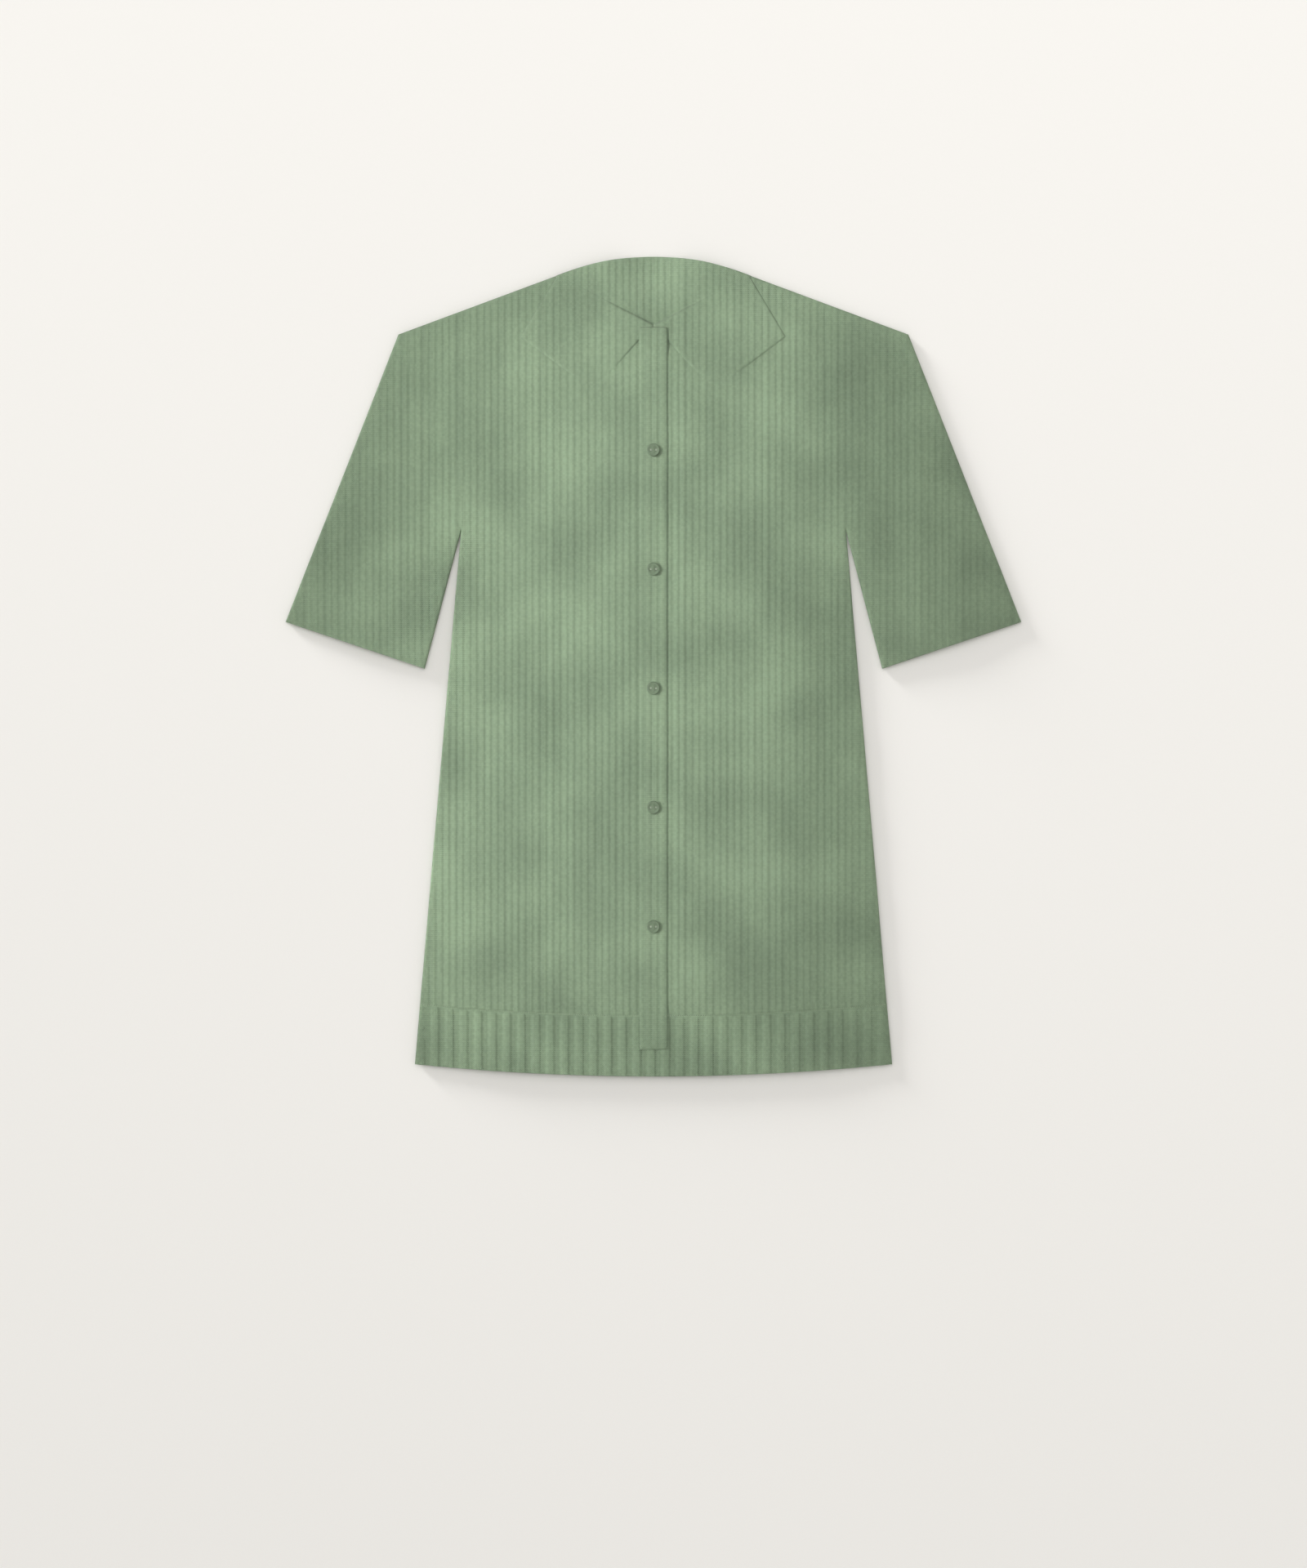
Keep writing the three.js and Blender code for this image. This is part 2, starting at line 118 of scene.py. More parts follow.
class Edge(Enum):
    """How an edge of cloth is finished: width of its rounding, drop above and rise below, in mm."""

    CUT = (1.1, 0.8, 0.25)
    SIDE = (2.0, 1.3, 0.0)
    FLUSH = (0.6, 0.0, 0.0)
    LINKED = (0.9, 0.15, 0.0)
    PRESSED = (2.4, 1.15, 0.0)
    BAND = (1.8, 0.9, 0.0)
    FOLD = (2.3, 2.0, 2.0)
    ROLL = (2.8, 2.5, 2.3)

    @property
    def run(self) -> float:
        """Width of the rounding."""
        return self.value[0]

    @property
    def rows(self) -> tuple[float, ...]:
        """How far from the edge the rows of mesh points lie that follow it.

        Returns:
            Their distances in mm.
        """
        if self is Edge.LINKED:
            return 0.3, 0.9, 2.0, 3.2
        return 0.15 * self.run, 0.45 * self.run, self.run, self.run

    def drop(self, distance: Array, upper: bool) -> Array:
        """Return how far the surface is rounded off at these distances from the edge.

        Args:
            distance: Distances from the edge.
            upper: Whether it is the upper surface, or else the lower one.

        Returns:
            The drop of the upper surface or the rise of the lower one.
        """
        depth = self.value[1] if upper else self.value[2]
        inward = np.clip(1.0 - distance / self.run, 0.0, 1.0)
        return depth * (1.0 - np.sqrt(1.0 - inward**2))


@dataclass(frozen=True)
class Rib:
    """A rib stitch: its pitch, its height over the groove, the place of a groove and its wales.

    Floor and crest are the shares of the half pitch at which its flank starts and ends. Samples are
    the shares of the pitch at which mesh columns follow it. Noise makes its height uneven: from the
    least share of it up to that share and the uneven one together.
    """

    pitch: float = 6.11
    height: float = 0.47
    phase: float = 4.6
    wales: int = 3
    floor: float = 0.0
    crest: float = 1.0
    samples: tuple[float, ...] = (0.0, 0.1, 0.24, 0.42, 0.62, 0.8, 0.92)
    least: float = 0.8
    uneven: float = 0.4

    @property
    def under(self) -> float:
        """Level of the grooves of an underside whose highest ribs just reach the ground."""
        return (self.least + self.uneven) * self.height

    def columns(self, low: float, high: float) -> Array:
        """Return the x of the mesh columns that follow the ribs.

        Args:
            low: The least x.
            high: The greatest x.

        Returns:
            The columns' x, from left to right.
        """
        first = math.floor((low - self.phase) / self.pitch)
        last = math.ceil((high - self.phase) / self.pitch)
        shares = np.arange(first, last)[:, None] + np.array(self.samples)[None, :]
        columns = (shares * self.pitch + self.phase).ravel()
        return columns[(columns > low) & (columns < high)]


BODY_RIB = Rib()
BAND_RIB = Rib(height=0.4)
COLLAR_RIB = Rib(height=0.45)
HEM_RIB = Rib(
    pitch=12.7,
    height=1.15,
    phase=4.6,
    wales=6,
    floor=0.36,
    crest=0.82,
    samples=(0.0, 0.1, 0.18, 0.21, 0.25, 0.3, 0.36, 0.43, 0.5, 0.57, 0.64, 0.7, 0.75, 0.79, 0.82, 0.9),
)


@dataclass(frozen=True)
class Pattern:
    """The shirt's outline and seams in mm, right half, as the CAD part has them.

    The two pulls are how far the middle points of the armhole's curve lie from its ends. Gap is how
    far each piece stops short of a seam.
    """

    top: float = 361.0
    neck_side: tuple[float, float] = (84.0, 344.5)
    shoulder: tuple[float, float] = (224.6, 292.2)
    cuff_out: tuple[float, float] = (324.0, 39.0)
    cuff_in: tuple[float, float] = (201.5, -2.2)
    underarm: tuple[float, float] = (169.6, 118.5)
    underarm_pull: tuple[float, float] = (-8.6, 56.5)
    shoulder_pull: tuple[float, float] = (-15.7, -42.0)
    hem_corner: tuple[float, float] = (210.2, -350.6)
    hem_band: float = 53.4
    shoulder_neck: tuple[float, float] = (86.3, 343.6)
    back_neck: float = 300.0
    front_edge: float = 9.0
    neck_seam_end: float = 287.3
    neck_seam_mid: tuple[float, float] = (53.0, 301.0)
    centre_front: float = 301.0
    leaf_out: tuple[float, float] = (116.6, 290.0)
    leaf_tip: tuple[float, float] = (52.6, 242.0)
    band_half: float = 12.25
    band_top: float = 298.2
    band_end: float = -337.0
    gap: float = 0.01
    armhole_points: int = 25
    neck_points: int = 17

    def hem(self, x: Array) -> Array:
        """Return the height of the hem at x."""
        sag = self.top + self.hem_corner[1]
        return self.hem_corner[1] - sag * (1.0 - (x / self.hem_corner[0]) ** 2)

    def hem_seam(self, x: Array) -> Array:
        """Return the height of the seam between the body and the hem band at x."""
        return self.hem(x) + self.hem_band

    def arch(self, x: Array) -> Array:
        """Return the height of the collar's arch at x."""
        return self.top - (self.top - self.neck_side[1]) * (x / self.neck_side[0]) ** 2

    def neck_back(self, x: Array) -> Array:
        """Return the height of the back neck seam at x."""
        rise = self.shoulder_neck[1] - self.back_neck
        return self.back_neck + rise * (x / self.shoulder_neck[0]) ** 2

    def roll(self, x: Array) -> Array:
        """Return the height of the collar's roll line at x, right half."""
        return self.centre_front + (self.neck_side[1] - self.centre_front) * x / self.neck_side[0]

    @property
    def side_low(self) -> tuple[float, float]:
        """Where the side of the body meets the hem band.

        Returns:
            The place.
        """
        share = 1.0 - self.hem_band / (self.underarm[1] - self.hem_corner[1])
        x = self.underarm[0] + (self.hem_corner[0] - self.underarm[0]) * share
        return x, float(self.hem_seam(x))

    @staticmethod
    def along(height: Callable[[Array], Array], start: float, end: float, steps: int) -> Array:
        """Return a run along a height function.

        Args:
            height: Its height at x.
            start: The x where it starts.
            end: The x where it ends.
            steps: How many straight steps it has.

        Returns:
            The points of the run.
        """
        x = np.linspace(start, end, steps + 1)
        return np.column_stack([x, height(x)])

    @property
    def armhole(self) -> Array:
        """The armhole seam, from the underarm up to the shoulder.

        Returns:
            Its points.
        """
        t = np.linspace(0.0, 1.0, self.armhole_points)[:, None]
        low, high = np.array(self.underarm), np.array(self.shoulder)
        pull_low, pull_high = low + self.underarm_pull, high + self.shoulder_pull
        rest = 1 - t
        return low * rest**3 + pull_low * 3 * t * rest**2 + pull_high * 3 * t**2 * rest + high * t**3

    @property
    def neck_seam(self) -> Array:
        """The front neck seam, from the shoulder down to the button band.

        Returns:
            Its points.
        """
        t = np.linspace(0.0, 1.0, self.neck_points)[:, None]
        start, end = np.array(self.shoulder_neck), np.array((self.front_edge, self.neck_seam_end))
        pull = 2.0 * np.array(self.neck_seam_mid) - (start + end) / 2.0
        return start * (1 - t) ** 2 + pull * 2 * t * (1 - t) + end * t**2


PATTERN = Pattern()


@dataclass(frozen=True)
class Levels:
    """How high each layer of cloth lies, in mm above the surface under the shirt.

    The fronts rise by loft_height over loft_reach from the closed edges, and their dents grow to full
    depth over dent_reach. Blend is how sharply one edge takes over from another near a corner.
    Dent_shares are the strengths of the broad, the fine and the long dents.
    """

    back_wall: float = 2.0
    seam_gap: float = 0.3
    wall: float = 2.02
    layer_gap: float = 0.15
    loft_height: float = 3.0
    loft_reach: float = 90.0
    blend: float = 4.0
    nearest: float = 0.01
    dent: float = 0.42
    dent_size: float = 68.0
    dent_reach: float = 40.0
    dent_shares: tuple[float, float, float] = (0.5, 0.2, 0.5)

    def closed_edges(self) -> list[tuple[Array, Array]]:
        """Find the edges that hold the two layers together, on both halves.

        Returns:
            The two ends of each.
        """
        p = PATTERN
        half = (
            (p.neck_side, p.shoulder),
            (p.shoulder, p.cuff_out),
            (p.underarm, p.cuff_in),
            (p.underarm, p.hem_corner),
        )
        return [(np.array(a) * (s, 1.0), np.array(b) * (s, 1.0)) for s in (1.0, -1.0) for a, b in half]

    def from_edges(self, xy: Array) -> Array:
        """Return how far points are from the closed edges, blended where two edges are near.

        Args:
            xy: The points.

        Returns:
            Their soft distances.
        """
        closeness = np.zeros(len(xy))
        for start, end in self.closed_edges():
            closeness += (distance_from(start, end, xy) + self.nearest) ** -self.blend
        return closeness ** (-1.0 / self.blend)

    def dents(self, xy: Array) -> Array:
        """Return the soft rises and hollows of cloth smoothed out by hand: three sizes of crossed waves.

        The waves' lengths and phases were chosen so that they don't repeat over the shirt.

        Args:
            xy: The points.

        Returns:
            The waves' heights, from about -1 to 1.
        """
        x, y = (xy / self.dent_size).T
        sway_across, sway_up = 0.8 * np.sin(1.3 * y + 0.4), 0.9 * np.sin(1.1 * x - 1.2)
        broad = np.sin(1.9 * x + sway_across + 0.6) * np.sin(1.5 * y - sway_up + 2.0)
        fine = np.sin(4.1 * x - 1.7 * y + 1.5 * np.sin(0.9 * y)) * np.sin(3.3 * y + 0.8 * x + 0.5)
        long = np.sin(0.9 * x + 0.35 * y + 0.8) * np.sin(0.55 * y - 0.3 * x - 0.4)
        strong, weak, slow = self.dent_shares
        return strong * broad + weak * fine + slow * long

    def inside(self, xy: Array) -> Array:
        """Return the level of the front layer's inner side.

        Args:
            xy: The points.

        Returns:
            Their levels.
        """
        reach = self.from_edges(xy)
        loft = self.loft_height * smooth(reach / self.loft_reach)
        dents = self.dent * self.dents(xy) * smooth(reach / self.dent_reach)
        return self.back_wall + self.seam_gap + loft + dents

    def groove(self, xy: Array) -> Array:
        """Return the level of the front layer's grooves."""
        return self.inside(xy) + self.wall

    def cover(self, xy: Array) -> Array:
        """Return the level of the underside of what lies on the fronts and nests on their ribs."""
        return self.groove(xy) + self.layer_gap

    def stand(self, xy: Array) -> Array:
        """Return the level of the top of the button stand."""
        return self.inside(xy) - self.seam_gap


LEVELS = Levels()


class Underside(Enum):
    """Which way the ribs of a layer's underside go: none, up over the ribs that it lies on, or down."""

    PLAIN = 0.0
    NESTED = 1.0
    RIBBED = -1.0


def flat(level: float) -> Height:
    """Return a height function that is the same everywhere."""
    return lambda xy: np.full(len(xy), level)


def raised(height: Height, by: float) -> Height:
    """Return a height function moved up."""
    return lambda xy: height(xy) + by


@dataclass
class Outline:
    """A closed outline, anticlockwise, made of runs that each have their own edge finish.

    Closest is the least distance between two points of its ring. Runs that are less wide than
    least_width cross no mesh column. Ribs_rise is where the ribs rise past a linked edge.
    """

    runs: list[tuple[Array, Edge]]
    inset: float = PATTERN.gap
    closest: float = 0.12
    least_width: float = 1e-6
    ribs_rise: tuple[float, float] = (0.6, 3.2)

    def __post_init__(self) -> None:
        """Join the runs and move them in by the gap at a seam."""
        corners: list[Array] = []
        finishes: list[Edge] = []
        for run, finish in self.runs:
            corners.extend(run[:-1])
            finishes.extend([finish] * (len(run) - 1))
        self.finishes = finishes
        self.corners = self.moved_in(np.array(corners), self.inset)

    @staticmethod
    def moved_in(ring: Array, distance: float) -> Array:
        """Move a closed ring of points inwards, less far at its sharpest corners.

        Args:
            ring: The points, anticlockwise.
            distance: How far they are moved.

        Returns:
            The moved points.
        """
        sharpest = 0.4
        ahead = np.roll(ring, -1, axis=0) - ring
        ahead /= np.linalg.norm(ahead, axis=1)[:, None]
        behind = np.roll(ahead, 1, axis=0)
        inward = np.column_stack([-(ahead + behind)[:, 1], (ahead + behind)[:, 0]])
        length = np.linalg.norm(inward, axis=1)[:, None]
        return ring + inward / length * distance / np.maximum(sharpest, length / 2.0)

    def ring(self, columns: Array, longest: float) -> tuple[Array, list[Edge]]:
        """Return the outline with a point at each mesh column and none too far apart.

        Args:
            columns: The x of the mesh columns.
            longest: The longest stretch between two points.

        Returns:
            The points, and the finish of the stretch after each of them.
        """
        ring: list[Array] = []
        finishes: list[Edge] = []
        for i, start in enumerate(self.corners):
            end = self.corners[(i + 1) % len(self.corners)]
            run = end - start
            length = float(np.linalg.norm(run))
            upright = abs(run[0]) < 0.5 * abs(run[1])
            shares = {0.0}
            if abs(run[0]) > self.least_width:
                shares.update(((columns - start[0]) / run[0]).tolist())
            if upright:
                steps = max(1, math.ceil(length / longest))
                shares.update(k / steps for k in range(steps))
            least = self.closest / length
            kept: list[float] = []
            for share in sorted(s for s in shares if 0.0 <= s < 1.0 - least):
                if not kept or share - kept[-1] > least:
                    kept.append(share)
            ring.extend(start + share * run for share in kept)
            finishes.extend([self.finishes[i]] * len(kept))
        return np.array(ring), finishes

    def distances(self, xy: Array) -> dict[Edge, Array]:
        """Return how far points are from the edges of each finish.

        Args:
            xy: The points.

        Returns:
            For each finish the distances.
        """
        found: dict[Edge, Array] = {}
        for start, end, finish in zip(self.corners, np.roll(self.corners, -1, axis=0), self.finishes):
            distance = distance_from(start, end, xy)
            found[finish] = np.minimum(found[finish], distance) if finish in found else distance
        return found

    def holds(self, xy: Array) -> Array:
        """Return which points are inside: those with an odd number of sides to their right.

        Args:
            xy: The points.

        Returns:
            Whether each is inside.
        """
        inside = np.zeros(len(xy), bool)
        x, y = xy.T
        for start, end in zip(self.corners, np.roll(self.corners, -1, axis=0)):
            crosses = (start[1] > y) != (end[1] > y)
            rise = end[1] - start[1]
            if rise:
                inside ^= crosses & (x < start[0] + (y - start[1]) * (end[0] - start[0]) / rise)
        return inside

    def rounding(self, xy: Array) -> tuple[Array, Array]:
        """Return how far the cloth is rounded off at its edges.

        Args:
            xy: The points.

        Returns:
            The drop of its top and the rise of its underside.
        """
        away = self.distances(xy).items()
        above = np.max([finish.drop(far, True) for finish, far in away], axis=0)
        below = np.max([finish.drop(far, False) for finish, far in away], axis=0)
        return above, below

    def ribbed(self, xy: Array) -> Array:
        """Return how far the ribs stand out, which is not at all along a linked edge."""
        linked = self.distances(xy).get(Edge.LINKED)
        return np.ones(len(xy)) if linked is None else ramp(linked, *self.ribs_rise)

    @property
    def area(self) -> float:
        """The flat area in square metres."""
        x, y = self.corners.T
        return abs(float(x @ np.roll(y, -1) - y @ np.roll(x, -1))) / 2.0 * MM * MM

    @property
    def size(self) -> tuple[float, float]:
        """The width and length in metres."""
        width, length = np.ptp(self.corners, axis=0) * MM
        return float(width), float(length)


def filled(ring: Array, inner: Array) -> Array:
    """Fill a ring of points with triangles. The points inside it come after the ring's own.

    Args:
        ring: The points of the outline, anticlockwise.
        inner: The points inside it.

    Returns:
        Triangles as rows of three indices.
    """
    tolerance = 1e-5
    every = [Vector(p) for p in np.vstack([ring, inner])]
    found = delaunay_2d_cdt(every, [], [list(range(len(ring)))], 0, tolerance, True)
    origin = [ids[0] for ids in found[3]]
    return np.array([[origin[v] for v in face] for face, source in zip(found[2], found[5]) if source])


@dataclass
class Wall:
    """The points and faces of a closed wall of cloth while it is being put together."""

    places: list[Array] = field(default_factory=list)
    faces: list[Array] = field(default_factory=list)
    ribbed: list[Array] = field(default_factory=list)
    count: int = 0

    def add(self, xy: Array, z: Array, triangles: Array, ribbed: Array | float) -> int:
        """Add a surface to the wall.

        Args:
            xy: Its points from above.
            z: Their levels.
            triangles: Its faces, as rows of three indices.
            ribbed: How its ribs go: 1 for up, -1 for down and 0 for none.

        Returns:
            The index of its first point.
        """
        start = self.count
        self.places.append(np.column_stack([xy, z]))
        self.faces.append(triangles + start)
        self.ribbed.append(ribbed * np.ones(len(xy)))
        self.count += len(xy)
        return start

    def strip(self, one: Array, other: Array) -> None:
        """Join two open rows of points, given by their indices."""
        a, b, c, d = one[:-1], one[1:], other[1:], other[:-1]
        self.faces.append(np.vstack([np.column_stack([a, b, c]), np.column_stack([a, c, d])]))

    def object(self, name: str) -> bpy.types.Object:
        """Turn the wall into an object in metres, with its faces pointing out.

        Args:
            name: The object's name.

        Returns:
            The object.
        """
        mesh = bpy.data.meshes.new(name)
        mesh.from_pydata((np.vstack(self.places) * MM).tolist(), [], np.vstack(self.faces).tolist())
        ribbed = mesh.attributes.new("ribbed", "FLOAT", "POINT")
        ribbed.data.foreach_set("value", np.concatenate(self.ribbed))
        shell = bmesh.new()
        shell.from_mesh(mesh)
        bmesh.ops.recalc_face_normals(shell, faces=shell.faces)
        open_edges = sum(1 for edge in shell.edges if not edge.is_manifold)
        shell.to_mesh(mesh)
        shell.free()
        if open_edges:
            log.warning("%s has %d open edges", name, open_edges)
        return placed(name, mesh)


@dataclass
class Cloth:
    """A piece of ribbed cloth: its rib, its mesh spacing, and how thin it may be pressed at an edge.

    The margins are how far the inner mesh points stay from the edge: on a ribbed side, on a plain one
    and in the hollow of a tube. Near_share is the share of its depth that a point of a row along the
    edge has to keep, and closest the least distance between mesh points. Filling is the share of a
    rib's height by which the cloth is thicker where its ribs fade.
    """

    rib: Rib = BODY_RIB
    row: float = 7.0
    coarse: float = 18.0
    ring_step: float = 4.0
    ribbed_margin: float = 2.6
    plain_margin: float = 3.5
    hollow_margin: float = 6.5
    near_share: float = 0.85
    closest: float = 0.22
    filling: float = 0.8
    thinnest: float = 0.15

    def fine_columns(self, outline: Outline) -> Array:
        """Return the x of the mesh columns that follow the ribs over an outline."""
        return self.rib.columns(outline.corners[:, 0].min(), outline.corners[:, 0].max())

    def coarse_columns(self, outline: Outline, least: int) -> Array:
        """Return the x of the coarse mesh columns over an outline, at least so many."""
        low, high = outline.corners[:, 0].min(), outline.corners[:, 0].max()
        return np.linspace(low, high, max(least, round((high - low) / self.coarse)))

    def grid(self, outline: Outline, columns: Array, row: float, clear: float) -> Array:
        """Return the inner points of a surface.

        Args:
            outline: The outline of the piece.
            columns: The x of its mesh columns.
            row: The distance between its rows.
            clear: How far the points stay from the edge.

        Returns:
            The points.
        """
        low, high = outline.corners.min(axis=0), outline.corners.max(axis=0)
        rows = np.linspace(low[1], high[1], max(2, round((high[1] - low[1]) / row)))
        mesh = np.array(np.meshgrid(columns, rows)).reshape(2, -1).T
        mesh = mesh[outline.holds(mesh)]
        return mesh[np.min(list(outline.distances(mesh).values()), axis=0) > clear]

    def near_edge(self, outline: Outline, ring: Array, finishes: list[Edge]) -> Array:
        """Return rows of points that follow the edge where it is rounded.

        Args:
            outline: The outline of the piece.
            ring: Its edge points.
            finishes: The finish of the stretch after each of them.

        Returns:
            The points of all rows.
        """
        found: list[Array] = []
        inward = Outline.moved_in(ring, 1.0) - ring
        for depth in np.array([finish.rows for finish in finishes]).T:
            depth = np.minimum(depth, np.roll(depth, 1))
            row = ring + inward * depth[:, None]
            away = np.min(list(outline.distances(row).values()), axis=0)
            row = row[outline.holds(row) & (away > self.near_share * depth)]
            found.append(row)
        return np.vstack(found)

    def spaced(self, xy: Array) -> Array:
        """Leave out points that are too close to an earlier one.

        Args:
            xy: The points.

        Returns:
            Those that stay.
        """
        cells = np.round(xy / self.closest).astype(int)
        _, kept = np.unique(cells, axis=0, return_index=True)
        return xy[np.sort(kept)]

    def surface(
        self, wall: Wall, outline: Outline, levels: tuple[Height, Height], upper: bool, ribs: float
    ) -> tuple[int, Array]:
        """Add one side of the cloth to a wall.

        Args:
            wall: The wall to add to.
            outline: The outline of the piece.
            levels: The levels of its underside and of its top.
            upper: Whether the side is its top, or else its underside.
            ribs: Which way its ribs go, 1 for up and -1 for down, or 0 for none.

        Returns:
            The index of its first point, and its ring of edge points.
        """
        columns = self.fine_columns(outline)
        ring, finishes = outline.ring(columns, self.ring_step)
        if ribs:
            edge_rows = self.near_edge(outline, ring, finishes)
            inner = np.vstack([edge_rows, self.grid(outline, columns, self.row, self.ribbed_margin)])
        else:
            inner = self.grid(outline, self.coarse_columns(outline, 2), self.coarse, self.plain_margin)
        inner = self.spaced(inner) if len(inner) else inner
        xy = np.vstack([ring, inner])
        under, over = (level(xy) for level in levels)
        above, below = outline.rounding(xy)
        spare = (over - under - self.thinnest) / np.maximum(above + below, self.thinnest)
        share = np.clip(spare, 0.0, 1.0)
        ribbed = ribs * outline.ribbed(xy)
        if not upper:
            return wall.add(xy, under + below * share, filled(ring, inner), ribbed), ring
        filling = self.rib.height * (ribs - ribbed) * self.filling
        return wall.add(xy, over - above * share + filling, filled(ring, inner), ribbed), ring

    def panel(
        self,
        name: str,
        outline: Outline,
        under: Height,
        over: Height,
        underside: Underside = Underside.PLAIN,
    ) -> bpy.types.Object:
        """Make one layer of cloth between two levels.

        Args:
            name: The object's name.
            outline: The outline.
            under: The level of its underside.
            over: The level of its top.
            underside: How its underside is ribbed. Its top is, unless its ribs go down.

        Returns:
            The object.
        """
        wall = Wall()
        top = 0.0 if underside is Underside.RIBBED else 1.0
        upper, ring = self.surface(wall, outline, (under, over), True, top)
        lower, _ = self.surface(wall, outline, (under, over), False, underside.value)
        around = np.append(np.arange(len(ring)), 0)
        wall.strip(upper + around, lower + around)
        return wall.object(name)

    def tube(
        self, name: str, outline: Outline, under: Height, inner: tuple[Height, Height], over: Height
    ) -> bpy.types.Object:
        """Make a flattened tube, ribbed outside, folded at two of its four runs and open at the others.

        Args:
            name: The object's name.
            outline: The outline, whose folded runs are finished as FOLD.
            under: The level of its underside.
            inner: The levels of the floor and the ceiling of its hollow.
            over: The level of the grooves of its top.

        Returns:
            The object.
        """
        wall = Wall()
        upper, ring = self.surface(wall, outline, (under, over), True, 1.0)
        lower, _ = self.surface(wall, outline, (under, over), False, -1.0)
        finishes = outline.ring(self.fine_columns(outline), self.ring_step)[1]
        folded = np.array([finish is Edge.FOLD for finish in finishes])
        hollow = self.hollow_ring(ring, folded, LEVELS.wall + self.rib.height)
        middle = self.grid(outline, self.coarse_columns(outline, 3), self.coarse, self.hollow_margin)
        xy = np.vstack([hollow, middle])
        triangles = filled(hollow, middle)
        floor = wall.add(xy, inner[0](xy), triangles, 0.0)
        ceiling = wall.add(xy, inner[1](xy), triangles, 0.0)
        count = len(ring)
        for i in range(count):
            pair = np.array([i, (i + 1) % count])
            if folded[i]:
                wall.strip(upper + pair, lower + pair)
                wall.strip(ceiling + pair, floor + pair)
            else:
                wall.strip(upper + pair, ceiling + pair)
                wall.strip(floor + pair, lower + pair)
            if folded[i] != folded[i - 1]:
                wall.strip(np.array([upper, ceiling]) + i, np.array([lower, floor]) + i)
        return wall.object(name)

    @staticmethod
    def hollow_ring(ring: Array, folded: Array, depth: float) -> Array:
        """Return the ring of a tube's hollow, set in from its folds but not from its open ends.

        Args:
            ring: The edge points of the tube.
            folded: Whether the stretch after each point is a fold.
            depth: How far the hollow is set in.

        Returns:
            As many points as the ring has.
        """
        count = len(ring)
        corners = [i for i in range(count) if folded[i] != folded[i - 1]]
        offsets = {}
        for i in corners:
            opening = ring[(i + 1) % count] - ring[i] if not folded[i] else ring[i - 1] - ring[i]
            fold = ring[i - 1] - ring[i] if not folded[i] else ring[(i + 1) % count] - ring[i]
            opening, fold = opening / np.linalg.norm(opening), fold / np.linalg.norm(fold)
            sine = abs(opening[0] * fold[1] - opening[1] * fold[0])
            offsets[i] = opening * depth / max(0.5, sine)
        moved = ring.copy()
        for start, end in zip(corners, corners[1:] + [corners[0] + count]):
            stretch = [i % count for i in range(start, end)]
            steps = np.linalg.norm(np.diff(ring[stretch + [end % count]], axis=0), axis=1)
            length = np.append(0.0, np.cumsum(steps))
            share = (length[:-1] / length[-1])[:, None]
            moved[stretch] += offsets[start] * (1.0 - share) + offsets[end % count] * share
        return moved


class Socket:
    """The output of a node, which can be used in arithmetic."""

    def __init__(self, graph: "Graph", output: bpy.types.NodeSocket) -> None:
        """Wrap a node's output."""
        self.graph = graph
        self.output = output

    def math(self, operation: str, *values: "Socket | float") -> "Socket":
        """Return the result of a Math node on this socket and other values."""
        inputs = dict(enumerate((self, *values)))
        return self.graph.node("ShaderNodeMath", {"operation": operation}, inputs)

    def reflected(self, operation: str, value: float) -> "Socket":
        """Return the result of a Math node with the number first."""
        return self.graph.node("ShaderNodeMath", {"operation": operation}, {0: value, 1: self})

    def __add__(self, other: "Socket | float") -> "Socket":
        """Return the sum."""
        return self.math("ADD", other)

    def __radd__(self, other: float) -> "Socket":
        """Return the sum."""
        return self.math("ADD", other)

    def __sub__(self, other: "Socket | float") -> "Socket":
        """Return the difference."""
        return self.math("SUBTRACT", other)

    def __rsub__(self, other: float) -> "Socket":
        """Return the difference from a number."""
        return self.reflected("SUBTRACT", other)

    def __mul__(self, other: "Socket | float") -> "Socket":
        """Return the product."""
        return self.math("MULTIPLY", other)

    def __rmul__(self, other: float) -> "Socket":
        """Return the product."""
        return self.math("MULTIPLY", other)

    def __truediv__(self, other: "Socket | float") -> "Socket":
        """Return the quotient."""
        return self.math("DIVIDE", other)

    def __pow__(self, other: "Socket | float") -> "Socket":
        """Return the power."""
        return self.math("POWER", other)

    def fraction(self) -> "Socket":
        """Return the part after the decimal point."""
        return self.math("FRACT")

    def whole(self) -> "Socket":
        """Return the whole number below."""
        return self.math("FLOOR")

    def absolute(self) -> "Socket":
        """Return the size without its sign."""
        return self.math("ABSOLUTE")

    def eased(self, low: float, high: float) -> "Socket":
        """Return 0 below low and 1 above high, with an eased step between them."""
        inputs = {"Value": self, "From Min": low, "From Max": high}
        return self.graph.node("ShaderNodeMapRange", {"interpolation_type": "SMOOTHSTEP"}, inputs)

    def triangle(self) -> "Socket":
        """Return 0 at each whole number, rising to 1 half-way between them."""
        return 1.0 - (self.fraction() * 2.0 - 1.0).absolute()


Value = Socket | float | str | tuple | list[Socket] | bpy.types.Material


